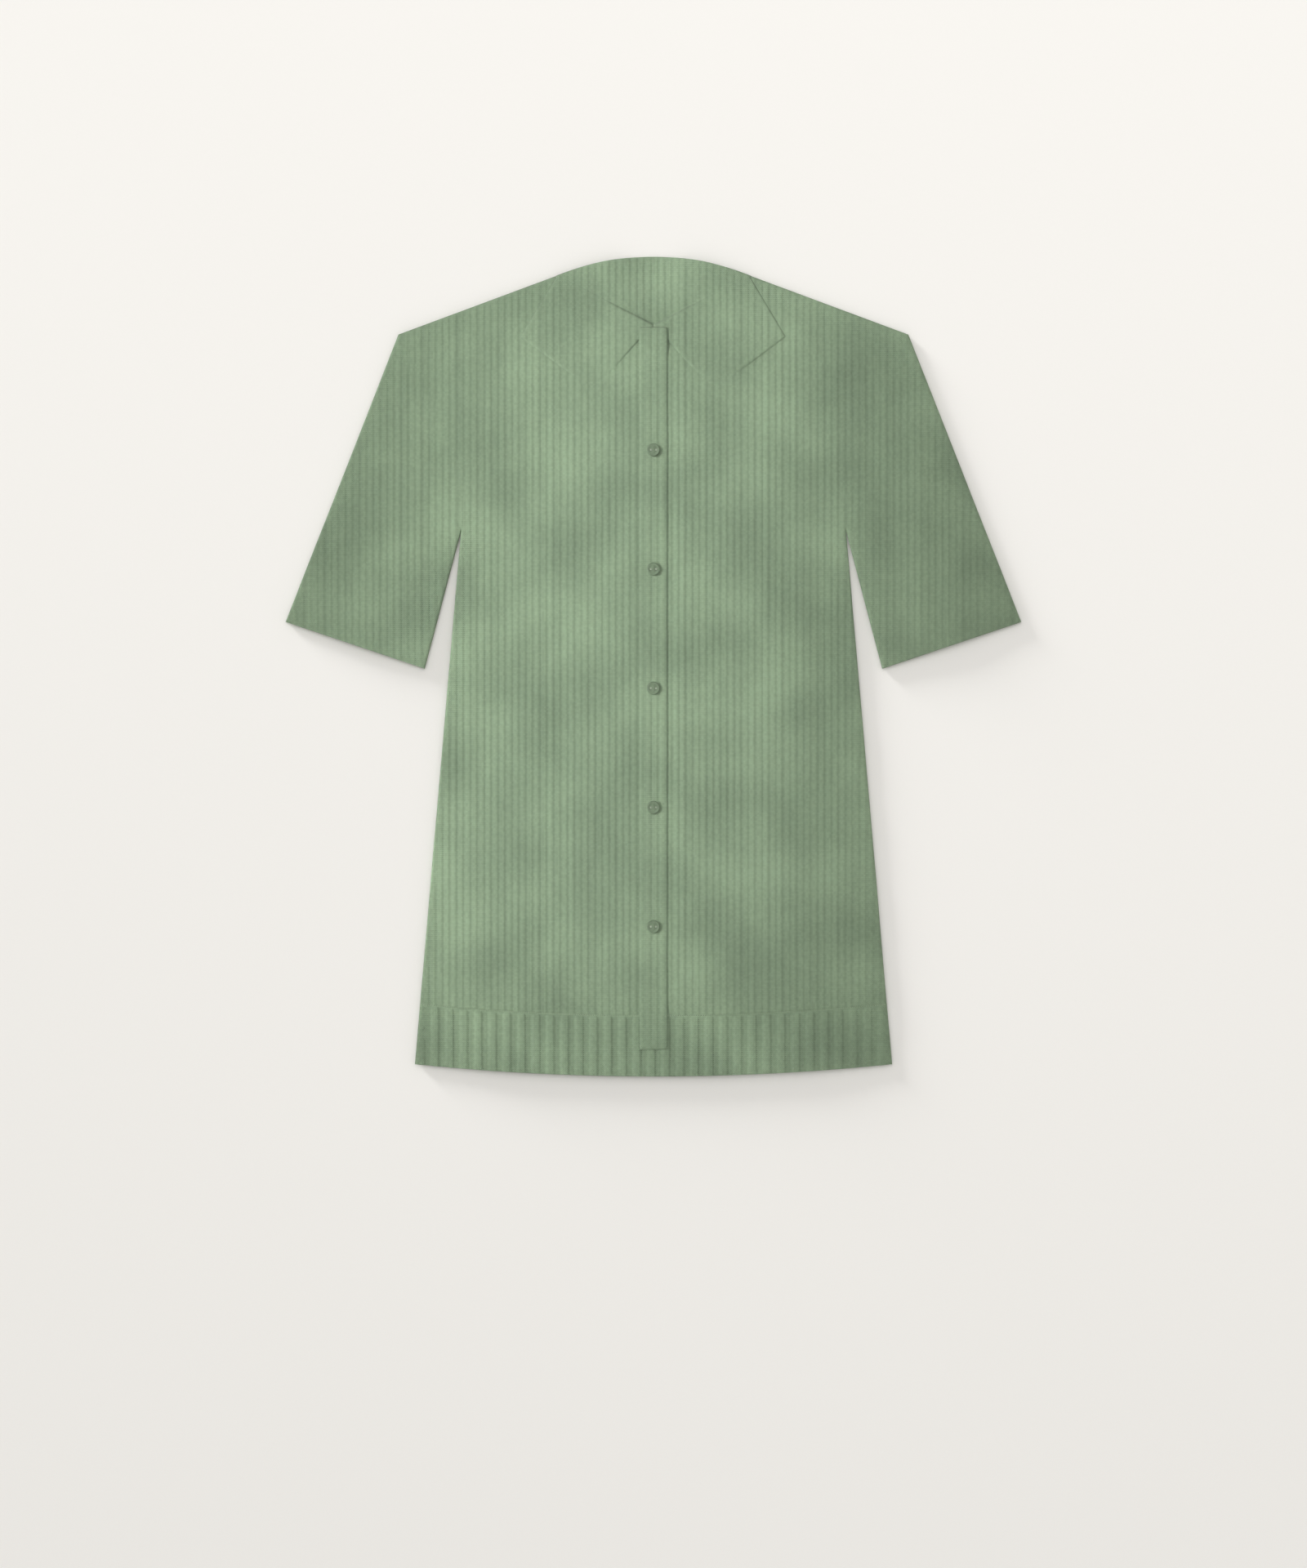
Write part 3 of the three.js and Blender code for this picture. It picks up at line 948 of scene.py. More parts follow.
class Graph:
    """A node tree that is written as expressions."""

    def __init__(self, tree: bpy.types.NodeTree) -> None:
        """Wrap an empty node tree."""
        self.tree = tree

    def node(
        self, kind: str, settings: dict | None = None, inputs: dict | None = None, output: int | str = 0
    ) -> Socket:
        """Add a node.

        Args:
            kind: The node's type.
            settings: Its properties, set first.
            inputs: The value, the link or the list of links of each socket, by name or place.
            output: The output to return.

        Returns:
            The chosen output.
        """
        made = self.tree.nodes.new(kind)
        for key, value in (settings or {}).items():
            setattr(made, key, value)
        for key, value in (inputs or {}).items():
            for part in value if isinstance(value, list) else [value]:
                if isinstance(part, Socket):
                    self.tree.links.new(part.output, made.inputs[key])
                else:
                    made.inputs[key].default_value = part
        outputs = made.outputs
        return Socket(self, outputs[output]) if len(outputs) else Socket(self, made.inputs[0])

    def also(self, socket: Socket, output: int | str) -> Socket:
        """Return another output of the node that a socket belongs to."""
        return Socket(self, socket.output.node.outputs[output])

    def split(self, vector: Socket) -> tuple[Socket, Socket, Socket]:
        """Return the three parts of a vector."""
        first = self.node("ShaderNodeSeparateXYZ", None, {0: vector})
        return first, self.also(first, 1), self.also(first, 2)

    def joined(self, x: Value, y: Value, z: Value = 0.0) -> Socket:
        """Return a vector of three parts."""
        return self.node("ShaderNodeCombineXYZ", None, {0: x, 1: y, 2: z})

    def noise(self, place: Socket, scale: float, detail: float = 2.0, roughness: float = 0.5) -> Socket:
        """Return smooth noise from 0 to 1 about a mean of a half."""
        inputs = {"Vector": place, "Scale": scale, "Detail": detail, "Roughness": roughness}
        return self.node("ShaderNodeTexNoise", {"normalize": True}, inputs)

    def scaled(self, vector: "Socket | tuple", factor: Value) -> Socket:
        """Return a vector or a colour times a factor."""
        return self.node("ShaderNodeVectorMath", {"operation": "SCALE"}, {0: vector, "Scale": factor})

    def place(self) -> Socket:
        """Return the place on the piece itself, in metres."""
        return self.node("ShaderNodeTexCoord", None, None, "Object")

    def bump(self, strength: float, distance: float, height: Socket) -> Socket:
        """Return the normal of a surface with this relief, in metres."""
        inputs = {"Strength": strength, "Distance": distance, "Height": height}
        return self.node("ShaderNodeBump", None, inputs)


def linear(red: int, green: int, blue: int) -> Colour:
    """Turn a screen colour into linear light.

    Args:
        red: Its red, from 0 to 255.
        green: Its green.
        blue: Its blue.

    Returns:
        The colour with its alpha.
    """
    parts = [c / 255.0 for c in (red, green, blue)]
    light = [c / 12.92 if c <= 0.04045 else ((c + 0.055) / 1.055) ** 2.4 for c in parts]
    return light[0], light[1], light[2], 1.0


def new_material(name: str) -> tuple[bpy.types.Material, Graph]:
    """Make an empty material.

    Args:
        name: Its name.

    Returns:
        The material and its graph.
    """
    made = bpy.data.materials.new(name)
    made.use_nodes = True
    made.node_tree.nodes.clear()
    return made, Graph(made.node_tree)


def finish_surface(graph: Graph, inputs: dict) -> None:
    """End a material's graph in a Principled shader with these inputs."""
    shader = graph.node("ShaderNodeBsdfPrincipled", None, inputs)
    graph.node("ShaderNodeOutputMaterial", None, {"Surface": shader})


@dataclass(frozen=True)
class RibKnit:
    """Cotton yarn knitted in ribs: its colours, the height of a course in mm and its unevenness.

    The depths are how strongly clouds, streaks, fibres, single ribs and single stitches lighten or darken
    the yarn, and how dark the painted shade is in the grooves between ribs and in the gaps between
    stitches; the painted groove shade's width is the share of the half pitch that it spans. Slant is how
    many courses the legs of a stitch slope over, gap how far a stitch sinks at its sides, where painted
    shade darkens it, and split how wide and how deep the line down its middle is, which painted shade
    darkens too. The yarn turns to its shade between the cloud edges.
    """

    name: str
    rib: Rib
    yarn: Colour = linear(150, 172, 141)
    shade: Colour = linear(146, 168, 138)
    course: float = 1.7
    painted_groove_shade_width: float = 0.9
    slant: float = 0.55
    gap: float = 0.6
    split: float = 0.3
    cloud_scale: float = 0.014
    cloud_edges: tuple[float, float] = (0.3, 0.7)
    streak_scale: tuple[float, float] = (0.16, 0.006)
    streak_seed: float = 3.0
    fibre_scale: float = 1.6
    tone: float = 0.8
    cloud_depth: float = 0.46
    streak_depth: float = 0.18
    fibre_depth: float = 0.22
    rib_depth: float = 0.05
    chance_depth: float = 0.1
    # Painted shade: how dark the grooves between ribs and the gaps between stitches are painted.
    painted_groove_shade_depth: float = 0.072
    painted_stitch_shade_depth: float = 0.066
    roughness: float = 0.84
    roughness_depth: float = 0.2
    relief: float = 0.0003
    fibre_relief: float = 0.7

    def build(self) -> bpy.types.Material:
        """Make the knit, with its wales and stitches in the piece's own place.

        Returns:
            The material.
        """
        made, g = new_material(self.name)
        place = g.scaled(g.place(), 1.0 / MM)
        x, y, _ = g.split(place)
        across = (x - self.rib.phase) / self.rib.pitch
        # Painted shade in the grooves between ribs: 1 at a groove, easing to 0 up its flanks.
        painted_groove_shade = 1.0 - across.triangle().eased(0.0, self.painted_groove_shade_width)
        wale = across * self.rib.wales + 0.5
        side = (wale.fraction() * 2.0 - 1.0).absolute()
        course = y / self.course - side * self.slant
        leg = 1.0 - (course.fraction() * 2.0 - 1.0).absolute() ** 2.0
        middle = side.eased(0.0, self.split) * self.split + (1.0 - self.split)
        stitch = leg * (1.0 - side**4.0 * self.gap) * middle
        cell = g.joined(wale.whole(), course.whole())
        chance = g.node("ShaderNodeTexWhiteNoise", {"noise_dimensions": "2D"}, {"Vector": cell})
        clouds = g.noise(place, self.cloud_scale, detail=1.5, roughness=0.4)
        wide, long = self.streak_scale
        streak_place = g.joined(x * wide, y * long, self.streak_seed)
        streaks = g.noise(streak_place, 1.0, detail=3.0, roughness=0.6)
        fibres = g.noise(place, self.fibre_scale, detail=3.0, roughness=0.65)
        rib = (across + 0.5).whole()
        each = g.node("ShaderNodeTexWhiteNoise", {"noise_dimensions": "1D"}, {"W": rib})
        tone = self.tone + (clouds - 0.5) * self.cloud_depth + (streaks - 0.5) * self.streak_depth
        tone = tone + (fibres - 0.5) * self.fibre_depth + (each - 0.5) * self.rib_depth
        tone = tone + (chance - 0.5) * self.chance_depth
        # Painted shade darkens the grooves between ribs and the gaps between stitches.
        tone = tone - painted_groove_shade * self.painted_groove_shade_depth - (1.0 - stitch) * self.painted_stitch_shade_depth
        mix = {"Factor": clouds.eased(*self.cloud_edges), 6: self.shade, 7: self.yarn}
        yarn = g.node("ShaderNodeMix", {"data_type": "RGBA"}, mix, 2)
        finish_surface(
            g,
            {
                "Base Color": g.scaled(yarn, tone),
                "Roughness": self.roughness + (fibres - 0.5) * self.roughness_depth,
                "Normal": g.bump(0.75, self.relief, stitch + fibres * self.fibre_relief),
                "Specular IOR Level": 0.25,
                "Sheen Weight": 0.18,
                "Sheen Roughness": 0.5,
            },
        )
        return made


@dataclass(frozen=True)
class Thread:
    """Twisted sewing thread, in a tone of the cloth.

    Twist is the length of one turn in mm. The depths are how dark the painted shade between the plies is
    and how strongly the fibres show.
    """

    name: str
    colour: Colour
    twist: float = 0.45
    tone: float = 0.68
    painted_ply_shade_depth: float = 0.17
    fibre_depth: float = 0.25
    roughness: float = 0.6
    roughness_depth: float = 0.2
    relief: float = 0.0001

    def build(self) -> bpy.types.Material:
        """Make the thread's look.

        Returns:
            The material.
        """
        made, g = new_material(self.name)
        place = g.scaled(g.place(), 1.0 / MM)
        x, y, z = g.split(place)
        ply = ((x + y + z) / self.twist).triangle()
        fibres = g.noise(place, 4.0, detail=3.0, roughness=0.6)
        # Painted shade: each ply is lighter at its crest and darker in the groove between plies.
        tone = self.tone + ply * self.painted_ply_shade_depth + (fibres - 0.5) * self.fibre_depth
        colour = g.scaled(self.colour[:3], tone)
        bump = g.bump(0.6, self.relief, ply)
        roughness = self.roughness + fibres * self.roughness_depth
        finish_surface(g, {"Base Color": colour, "Roughness": roughness, "Normal": bump})
        return made


@dataclass(frozen=True)
class Moulded:
    """Polished plastic for buttons, clouded a little as dyed polyester is, and finely grained."""

    name: str
    colour: Colour
    tone: float = 0.75
    cloud_depth: float = 0.4
    grain_depth: float = 0.07
    roughness: float = 0.46
    roughness_depth: float = 0.2
    relief: float = 0.00005

    def build(self) -> bpy.types.Material:
        """Make the plastic.

        Returns:
            The material.
        """
        made, g = new_material(self.name)
        place = g.scaled(g.place(), 1.0 / MM)
        clouds = g.noise(place, 0.35, detail=4.0, roughness=0.6)
        grain = g.noise(place, 3.0)
        tone = self.tone + (clouds - 0.5) * self.cloud_depth + (grain - 0.5) * self.grain_depth
        colour = g.scaled(self.colour[:3], tone)
        bump = g.bump(0.15, self.relief, grain)
        roughness = self.roughness + (clouds - 0.5) * self.roughness_depth
        inputs = {"Base Color": colour, "Roughness": roughness, "Normal": bump}
        finish_surface(g, inputs | {"Specular IOR Level": 0.35})
        return made


@dataclass(frozen=True)
class Paper:
    """The pale matte ground that the shirt lies on, with painted light that makes it lighter up the
    picture.
    """

    name: str = "pale_ground"
    colour: Colour = linear(245, 243, 239)
    tone: float = 0.985
    # Painted light: how much lighter the ground grows per metre up the picture.
    painted_light_slope: float = 0.085
    unevenness: float = 0.02

    def build(self) -> bpy.types.Material:
        """Make the paper.

        Returns:
            The material.
        """
        made, g = new_material(self.name)
        place = g.place()
        _, y, _ = g.split(place)
        clouds = g.noise(place, 1.2, detail=3.0)
        grain = g.noise(place, 900.0)
        # Painted light: the ground is made lighter up the picture and darker towards its lower edge.
        tone = self.tone + y * self.painted_light_slope
        tone = tone + (clouds - 0.5) * self.unevenness + (grain - 0.5) * self.unevenness
        colour = g.scaled(self.colour[:3], tone)
        finish_surface(g, {"Base Color": colour, "Roughness": 0.95, "Specular IOR Level": 0.1})
        return made


class GeometryTree:
    """A Geometry Nodes tree with named inputs, which can be run on an object."""

    def __init__(self, name: str, sockets: dict[str, tuple[str, float]]) -> None:
        """Make an empty tree.

        Args:
            name: The tree's name.
            sockets: For each named input its socket type and its value.
        """
        self.tree = bpy.data.node_groups.new(name, "GeometryNodeTree")
        self.tree.interface.new_socket("Geometry", in_out="INPUT", socket_type="NodeSocketGeometry")
        self.tree.interface.new_socket("Geometry", in_out="OUTPUT", socket_type="NodeSocketGeometry")
        self.identifiers = {}
        for key, (kind, value) in sockets.items():
            made = self.tree.interface.new_socket(key, in_out="INPUT", socket_type=kind)
            made.default_value = value
            self.identifiers[key] = made.identifier
        self.graph = Graph(self.tree)
        self.source = self.graph.node("NodeGroupInput")

    def input(self, key: str) -> Socket:
        """Return a named input."""
        return self.graph.also(self.source, key)

    def close(self, geometry: Socket, material: bpy.types.Material) -> None:
        """End the tree: the geometry smoothed and made real, and the material set.

        Args:
            geometry: The geometry to end with.
            material: Its material.
        """
        smoothed = self.graph.node("GeometryNodeSetShadeSmooth", None, {"Geometry": geometry})
        real = self.graph.node("GeometryNodeRealizeInstances", None, {"Geometry": smoothed})
        inputs = {"Geometry": real, "Material": material}
        dressed = self.graph.node("GeometryNodeSetMaterial", None, inputs)
        self.graph.node("NodeGroupOutput", None, {0: dressed})

    def run(self, obj: bpy.types.Object, **values: float) -> bpy.types.Object:
        """Run the tree on an object and keep the result as its plain mesh.

        Args:
            obj: The object to change.
            values: Values of named inputs that differ from the tree's own.

        Returns:
            The same object.
        """
        modifier = obj.modifiers.new(self.tree.name, "NODES")
        modifier.node_group = self.tree
        for key, value in values.items():
            modifier[self.identifiers[key]] = value
        seen = obj.evaluated_get(bpy.context.evaluated_depsgraph_get())
        mesh = bpy.data.meshes.new_from_object(seen)
        obj.modifiers.remove(modifier)
        obj.data = mesh
        mesh.name = obj.name
        return obj


def rib_relief(material: bpy.types.Material) -> GeometryTree:
    """Return the tree that raises the ribs of a piece of cloth along their wales.

    The ribs vary in height and wander a little from side to side, by two noises with a fixed seed each.

    Args:
        material: The knit that the cloth is dressed in.

    Returns:
        The tree, with the ribs' pitch, height, place, flank, roundness and wander as inputs.
    """
    number = "NodeSocketFloat"
    height_seed, height_scale = 1.0, (90.0, 14.0)
    wander_seed, wander_scale = 5.0, (4.0, 9.0)
    tree = GeometryTree(
        "rib_relief",
        {
            "Pitch": (number, BODY_RIB.pitch * MM),
            "Height": (number, BODY_RIB.height * MM),
            "Phase": (number, BODY_RIB.phase * MM),
            "Floor": (number, BODY_RIB.floor),
            "Crest": (number, BODY_RIB.crest),
            "Roundness": (number, 2.0),
            "Wander": (number, 0.3 * MM),
        },
    )
    g = tree.graph
    position = g.node("GeometryNodeInputPosition")
    x, y, _ = g.split(position)
    from_groove = ((x - tree.input("Phase")) / tree.input("Pitch")).triangle()
    flank = (from_groove - tree.input("Floor")) / (tree.input("Crest") - tree.input("Floor"))
    below_crest = 1.0 - flank.math("MAXIMUM", 0.0).math("MINIMUM", 1.0)
    profile = 1.0 - below_crest ** tree.input("Roundness")
    ribbed = g.node("GeometryNodeInputNamedAttribute", {"data_type": "FLOAT"}, {"Name": "ribbed"})
    uneven = g.noise(g.joined(x * height_scale[0], y * height_scale[1], height_seed), 1.0)
    rise = profile * tree.input("Height") * ribbed * (BODY_RIB.least + uneven * BODY_RIB.uneven)
    place = g.joined(x * wander_scale[0], y * wander_scale[1], wander_seed)
    drift = (g.noise(place, 1.0, detail=1.0) - 0.5) * 2.0 * tree.input("Wander")
    inputs = {"Geometry": tree.input("Geometry"), "Offset": g.joined(drift, 0.0, rise)}
    tree.close(g.node("GeometryNodeSetPosition", None, inputs), material)
    return tree


def chain_seam(thread: bpy.types.Material) -> GeometryTree:
    """Return the tree that lays linked stitches along a path.

    Args:
        thread: The thread's material.

    Returns:
        The tree, with the stitches' spacing, length, width and slant as inputs.
    """
    number = "NodeSocketFloat"
    leg_shift = 0.55
    tree = GeometryTree(
        "chain_seam",
        {
            "Spacing": (number, 2.0 * MM),
            "Length": (number, 2.4 * MM),
            "Width": (number, 0.6 * MM),
            "Slant": (number, 0.3),
        },
    )
    g = tree.graph
    curve = g.node("GeometryNodeMeshToCurve", None, {"Mesh": tree.input("Geometry")})
    path = {"Curve": curve, "Length": tree.input("Spacing")}
    along = g.node("GeometryNodeCurveToPoints", {"mode": "LENGTH"}, path)
    axes = {"axis": "X", "pivot_axis": "Z"}
    heading = g.node("FunctionNodeAlignRotationToVector", axes, {"Vector": g.also(along, "Tangent")})
    bead = g.node("GeometryNodeMeshUVSphere", None, {"Segments": 6, "Rings": 4, "Radius": 0.5})
    size = g.joined(tree.input("Length"), tree.input("Width"), tree.input("Width"))
    legs = []
    for side in (1.0, -1.0):
        angles = g.joined(0.0, 0.0, tree.input("Slant") * side)
        turn = g.node("FunctionNodeEulerToRotation", None, {0: angles})
        shift = g.joined(0.0, tree.input("Width") * (leg_shift * side))
        stitch = {"Geometry": bead, "Translation": shift, "Rotation": turn, "Scale": size}
        legs.append(g.node("GeometryNodeTransform", None, stitch))
    pair = g.node("GeometryNodeJoinGeometry", None, {0: legs})
    laid = {"Points": along, "Instance": pair, "Rotation": heading}
    tree.close(g.node("GeometryNodeInstanceOnPoints", None, laid), thread)
    return tree


@dataclass
class Workroom:
    """The finishes and trees that all pieces share."""

    body_knit: bpy.types.Material
    hem_knit: bpy.types.Material
    thread: bpy.types.Material
    button: bpy.types.Material
    body_relief: GeometryTree
    hem_relief: GeometryTree
    seam: GeometryTree

    @classmethod
    def opened(cls) -> "Workroom":
        """Make the finishes and trees.

        Returns:
            The workroom.
        """
        body_knit = RibKnit("rib_knit", BODY_RIB).build()
        # The hem's rib grooves get a weaker painted shade than the body's.
        hem_knit = RibKnit("hem_rib_knit", HEM_RIB, painted_groove_shade_depth=0.04).build()
        return cls(
            body_knit,
            hem_knit,
            Thread("button_thread", linear(196, 208, 186)).build(),
            Moulded("button_plastic", linear(121, 140, 113)).build(),
            rib_relief(body_knit),
            rib_relief(hem_knit),
            # Painted highlight: the linking yarn is the cloth's own yarn, made lighter so the hem seam
            # shows as a light line.
            chain_seam(Thread("linking_yarn", linear(163, 185, 153)).build()),
        )

    def knitted(self, obj: bpy.types.Object, rib: Rib) -> bpy.types.Object:
        """Raise the ribs of a piece of cloth and dress it.

        Args:
            obj: The plain wall.
            rib: Its rib stitch.

        Returns:
            The same object.
        """
        tree = self.hem_relief if rib is HEM_RIB else self.body_relief
        obj.data.materials.clear()
        return tree.run(
            obj,
            Pitch=rib.pitch * MM,
            Height=rib.height * MM,
            Phase=rib.phase * MM,
            Floor=rib.floor,
            Crest=rib.crest,
        )

    def seam_along(self, name: str, path: Array, level: Height) -> bpy.types.Object:
        """Lay linked stitches along a path.

        Args:
            name: The object's name.
            path: The path's points in mm.
            level: Its height.

        Returns:
            The stitches.
        """
        mesh = bpy.data.meshes.new(name)
        places = np.column_stack([path, level(path)]) * MM
        mesh.from_pydata(places.tolist(), [(i, i + 1) for i in range(len(path) - 1)], [])
        return self.seam.run(placed(name, mesh))


def settle(obj: bpy.types.Object, slot: str, *nodes: str) -> None:
    """Hand a finished piece to the frame and report it.

    Args:
        obj: The piece.
        slot: Its slot, which is not used.
        nodes: The CAD nodes that it stands for.
    """
    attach(obj, BODY)
    if nodes:
        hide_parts(*nodes)
    log.info("%s: %d faces", obj.name, len(obj.data.polygons))


@dataclass
class Body:
    """The two fronts and the back."""

    room: Workroom

    @property
    def side(self) -> Array:
        """The side seam, upwards."""
        return line(PATTERN.side_low, PATTERN.underarm)

    @property
    def shoulder(self) -> Array:
        """The shoulder seam, towards the neck."""
        return line(PATTERN.shoulder, PATTERN.shoulder_neck)

    def front_outline(self) -> Outline:
        """Draw the right front.

        Returns:
            Its outline.
        """
        p = PATTERN
        hem = p.along(p.hem_seam, p.front_edge, p.side_low[0], steps=16)
        return Outline(
            [
                (hem, Edge.FLUSH),
                (self.side, Edge.SIDE),
                (p.armhole, Edge.FLUSH),
                (self.shoulder, Edge.SIDE),
                (p.neck_seam, Edge.CUT),
                (line(p.neck_seam[-1], hem[0]), Edge.CUT),
            ]
        )

    def back_outline(self) -> Outline:
        """Draw the back.

        Returns:
            Its outline.
        """
        p = PATTERN
        return Outline(
            [
                (p.along(p.hem_seam, -p.side_low[0], p.side_low[0], steps=32), Edge.CUT),
                (self.side, Edge.CUT),
                (p.armhole, Edge.CUT),
                (self.shoulder, Edge.CUT),
                (p.along(p.neck_back, p.shoulder_neck[0], -p.shoulder_neck[0], steps=24), Edge.CUT),
                (mirrored(self.shoulder), Edge.CUT),
                (mirrored(p.armhole), Edge.CUT),
                (mirrored(self.side), Edge.CUT),
            ]
        )

    def build(self) -> None:
        """Make the fronts and the back."""
        outline = self.front_outline()
        for name, half in (("front_right", outline), ("front_left", opposite(outline))):
            piece = Cloth().panel(name + "_knit", half, LEVELS.inside, LEVELS.groove)
            self.room.knitted(piece, BODY_RIB)
            settle(piece, "knit", name)
        outline = self.back_outline()
        back = Cloth(row=9.0).panel(
            "back_knit", outline, flat(BODY_RIB.under), flat(LEVELS.back_wall), Underside.RIBBED
        )
        self.room.knitted(back, BODY_RIB)
        settle(back, "knit", "back")


def opposite(outline: Outline) -> Outline:
    """Return an outline for the other half of the shirt."""
    runs = [(mirrored(run), finish) for run, finish in reversed(outline.runs)]
    return Outline(runs, outline.inset)


@dataclass
class Sleeve:
    """A set-in sleeve, flat and folded along its top and its underarm."""

    room: Workroom

    def outline(self) -> Outline:
        """Draw the right sleeve.

        Returns:
            Its outline.
        """
        p = PATTERN
        return Outline(
            [
                (line(p.underarm, p.cuff_in), Edge.FOLD),
                (line(p.cuff_in, p.cuff_out), Edge.CUT),
                (line(p.cuff_out, p.shoulder), Edge.FOLD),
                (p.armhole[::-1], Edge.FLUSH),
            ]
        )

    def build(self) -> None:
        """Make both sleeves."""
        right = self.outline()
        ceiling = flat(LEVELS.back_wall)
        for name, half in (("sleeve_right", right), ("sleeve_left", opposite(right))):
            piece = Cloth().tube(
                name + "_knit", half, flat(BODY_RIB.under), (ceiling, LEVELS.inside), LEVELS.groove
            )
            self.room.knitted(piece, BODY_RIB)
            settle(piece, "knit", name)


@dataclass
class HemBand:
    """The band of wide ribs round the hem, whose crests stand proud of the body's by so much."""

    room: Workroom
    proud: float = 0.25

    def build(self) -> None:
        """Make the band."""
        p = PATTERN
        corner = p.hem_corner[0]
        side = line(p.hem_corner, p.side_low)
        outline = Outline(
            [
                (p.along(p.hem, -corner, corner, steps=36), Edge.CUT),
                (side, Edge.FOLD),
                (p.along(p.hem_seam, p.side_low[0], -p.side_low[0], steps=36), Edge.LINKED),
                (mirrored(side), Edge.FOLD),
            ]
        )
        hollow = (flat(LEVELS.back_wall), LEVELS.inside)
        cloth = Cloth(rib=HEM_RIB, row=9.0)
        groove = raised(LEVELS.groove, BODY_RIB.height - HEM_RIB.height + self.proud)
        piece = cloth.tube("hem_band_knit", outline, flat(HEM_RIB.under), hollow, groove)
        self.room.knitted(piece, HEM_RIB)
        settle(piece, "knit", "hem_band")


@dataclass
class Opening:
    """The button band, the stand under it and the buttons.

    Onto_leaf and onto_hem are where the band climbs on to the leaves and on to the hem band, from the
    ends of the neck seam and from the hem seam. The stand stays clear of the hem band and the collar.
    """

    room: Workroom
    wall: float = 1.3
    over_hem: float = 0.9
    onto_leaf: tuple[float, float] = (-14.0, -1.0)
    onto_hem: tuple[float, float] = (-9.0, -1.0)
    stand_wall: float = 1.2
    stand_groove: float = 0.5
    clear_of_hem: float = 1.0
    clear_of_collar: float = 4.0
    first: float = 190.1
    spacing: float = 104.8
    count: int = 5
    askew: float = 0.05
    askew_step: float = 2.3

    def under_band(self, xy: Array) -> Array:
        """Return the level of the band's underside, over the leaves at its top and the hem band below.

        Args:
            xy: The points.

        Returns:
            Their levels.
        """
        leaf = Collar.leaf_wall + Collar.fullness + LEVELS.layer_gap
        over_leaf = ramp(xy[:, 1] - PATTERN.neck_seam_end, *self.onto_leaf)
        over_hem = ramp(PATTERN.hem_seam(xy[:, 0]) - xy[:, 1], *self.onto_hem)
        return LEVELS.cover(xy) + leaf * over_leaf + self.over_hem * over_hem

    def strip(self, low: float, high: float) -> Outline:
        """Draw a strip as wide as the band.

        Args:
            low: The y of its lower end.
            high: The y of its upper end.

        Returns:
            Its outline.
        """
        half = PATTERN.band_half
        corners = points((-half, low), (half, low), (half, high), (-half, high), (-half, low))
        return Outline([(corners, Edge.BAND)], inset=0.0)

    def build(self) -> None:
        """Make the band, its stand and the buttons."""
        p = PATTERN
        band = self.strip(p.band_end, p.band_top)
        over = raised(self.under_band, self.wall)
        cloth = Cloth(rib=BAND_RIB)
        piece = cloth.panel("button_band_knit", band, self.under_band, over, Underside.NESTED)
        self.room.knitted(piece, BAND_RIB)
        settle(piece, "knit", "button_band")
        hem_end = float(p.hem_seam(np.array(p.band_half)))
        stand = self.strip(hem_end + self.clear_of_hem, p.band_top - self.clear_of_collar)
        under = raised(LEVELS.stand, -self.stand_wall)
        over = raised(LEVELS.stand, -self.stand_groove)
        piece = Cloth().panel("button_stand_knit", stand, under, over)
        self.room.knitted(piece, BAND_RIB)
        settle(piece, "knit", "button_stand")
        for i in range(self.count):
            y = self.first - i * self.spacing
            under = float(LEVELS.cover(points((0.0, y)))[0])
            seat = under + self.wall + BAND_RIB.height + LEVELS.layer_gap
            turn = self.askew * math.sin(self.askew_step * i)
            ShirtButton(self.room, f"button_{i + 1}", y, seat, turn).build()


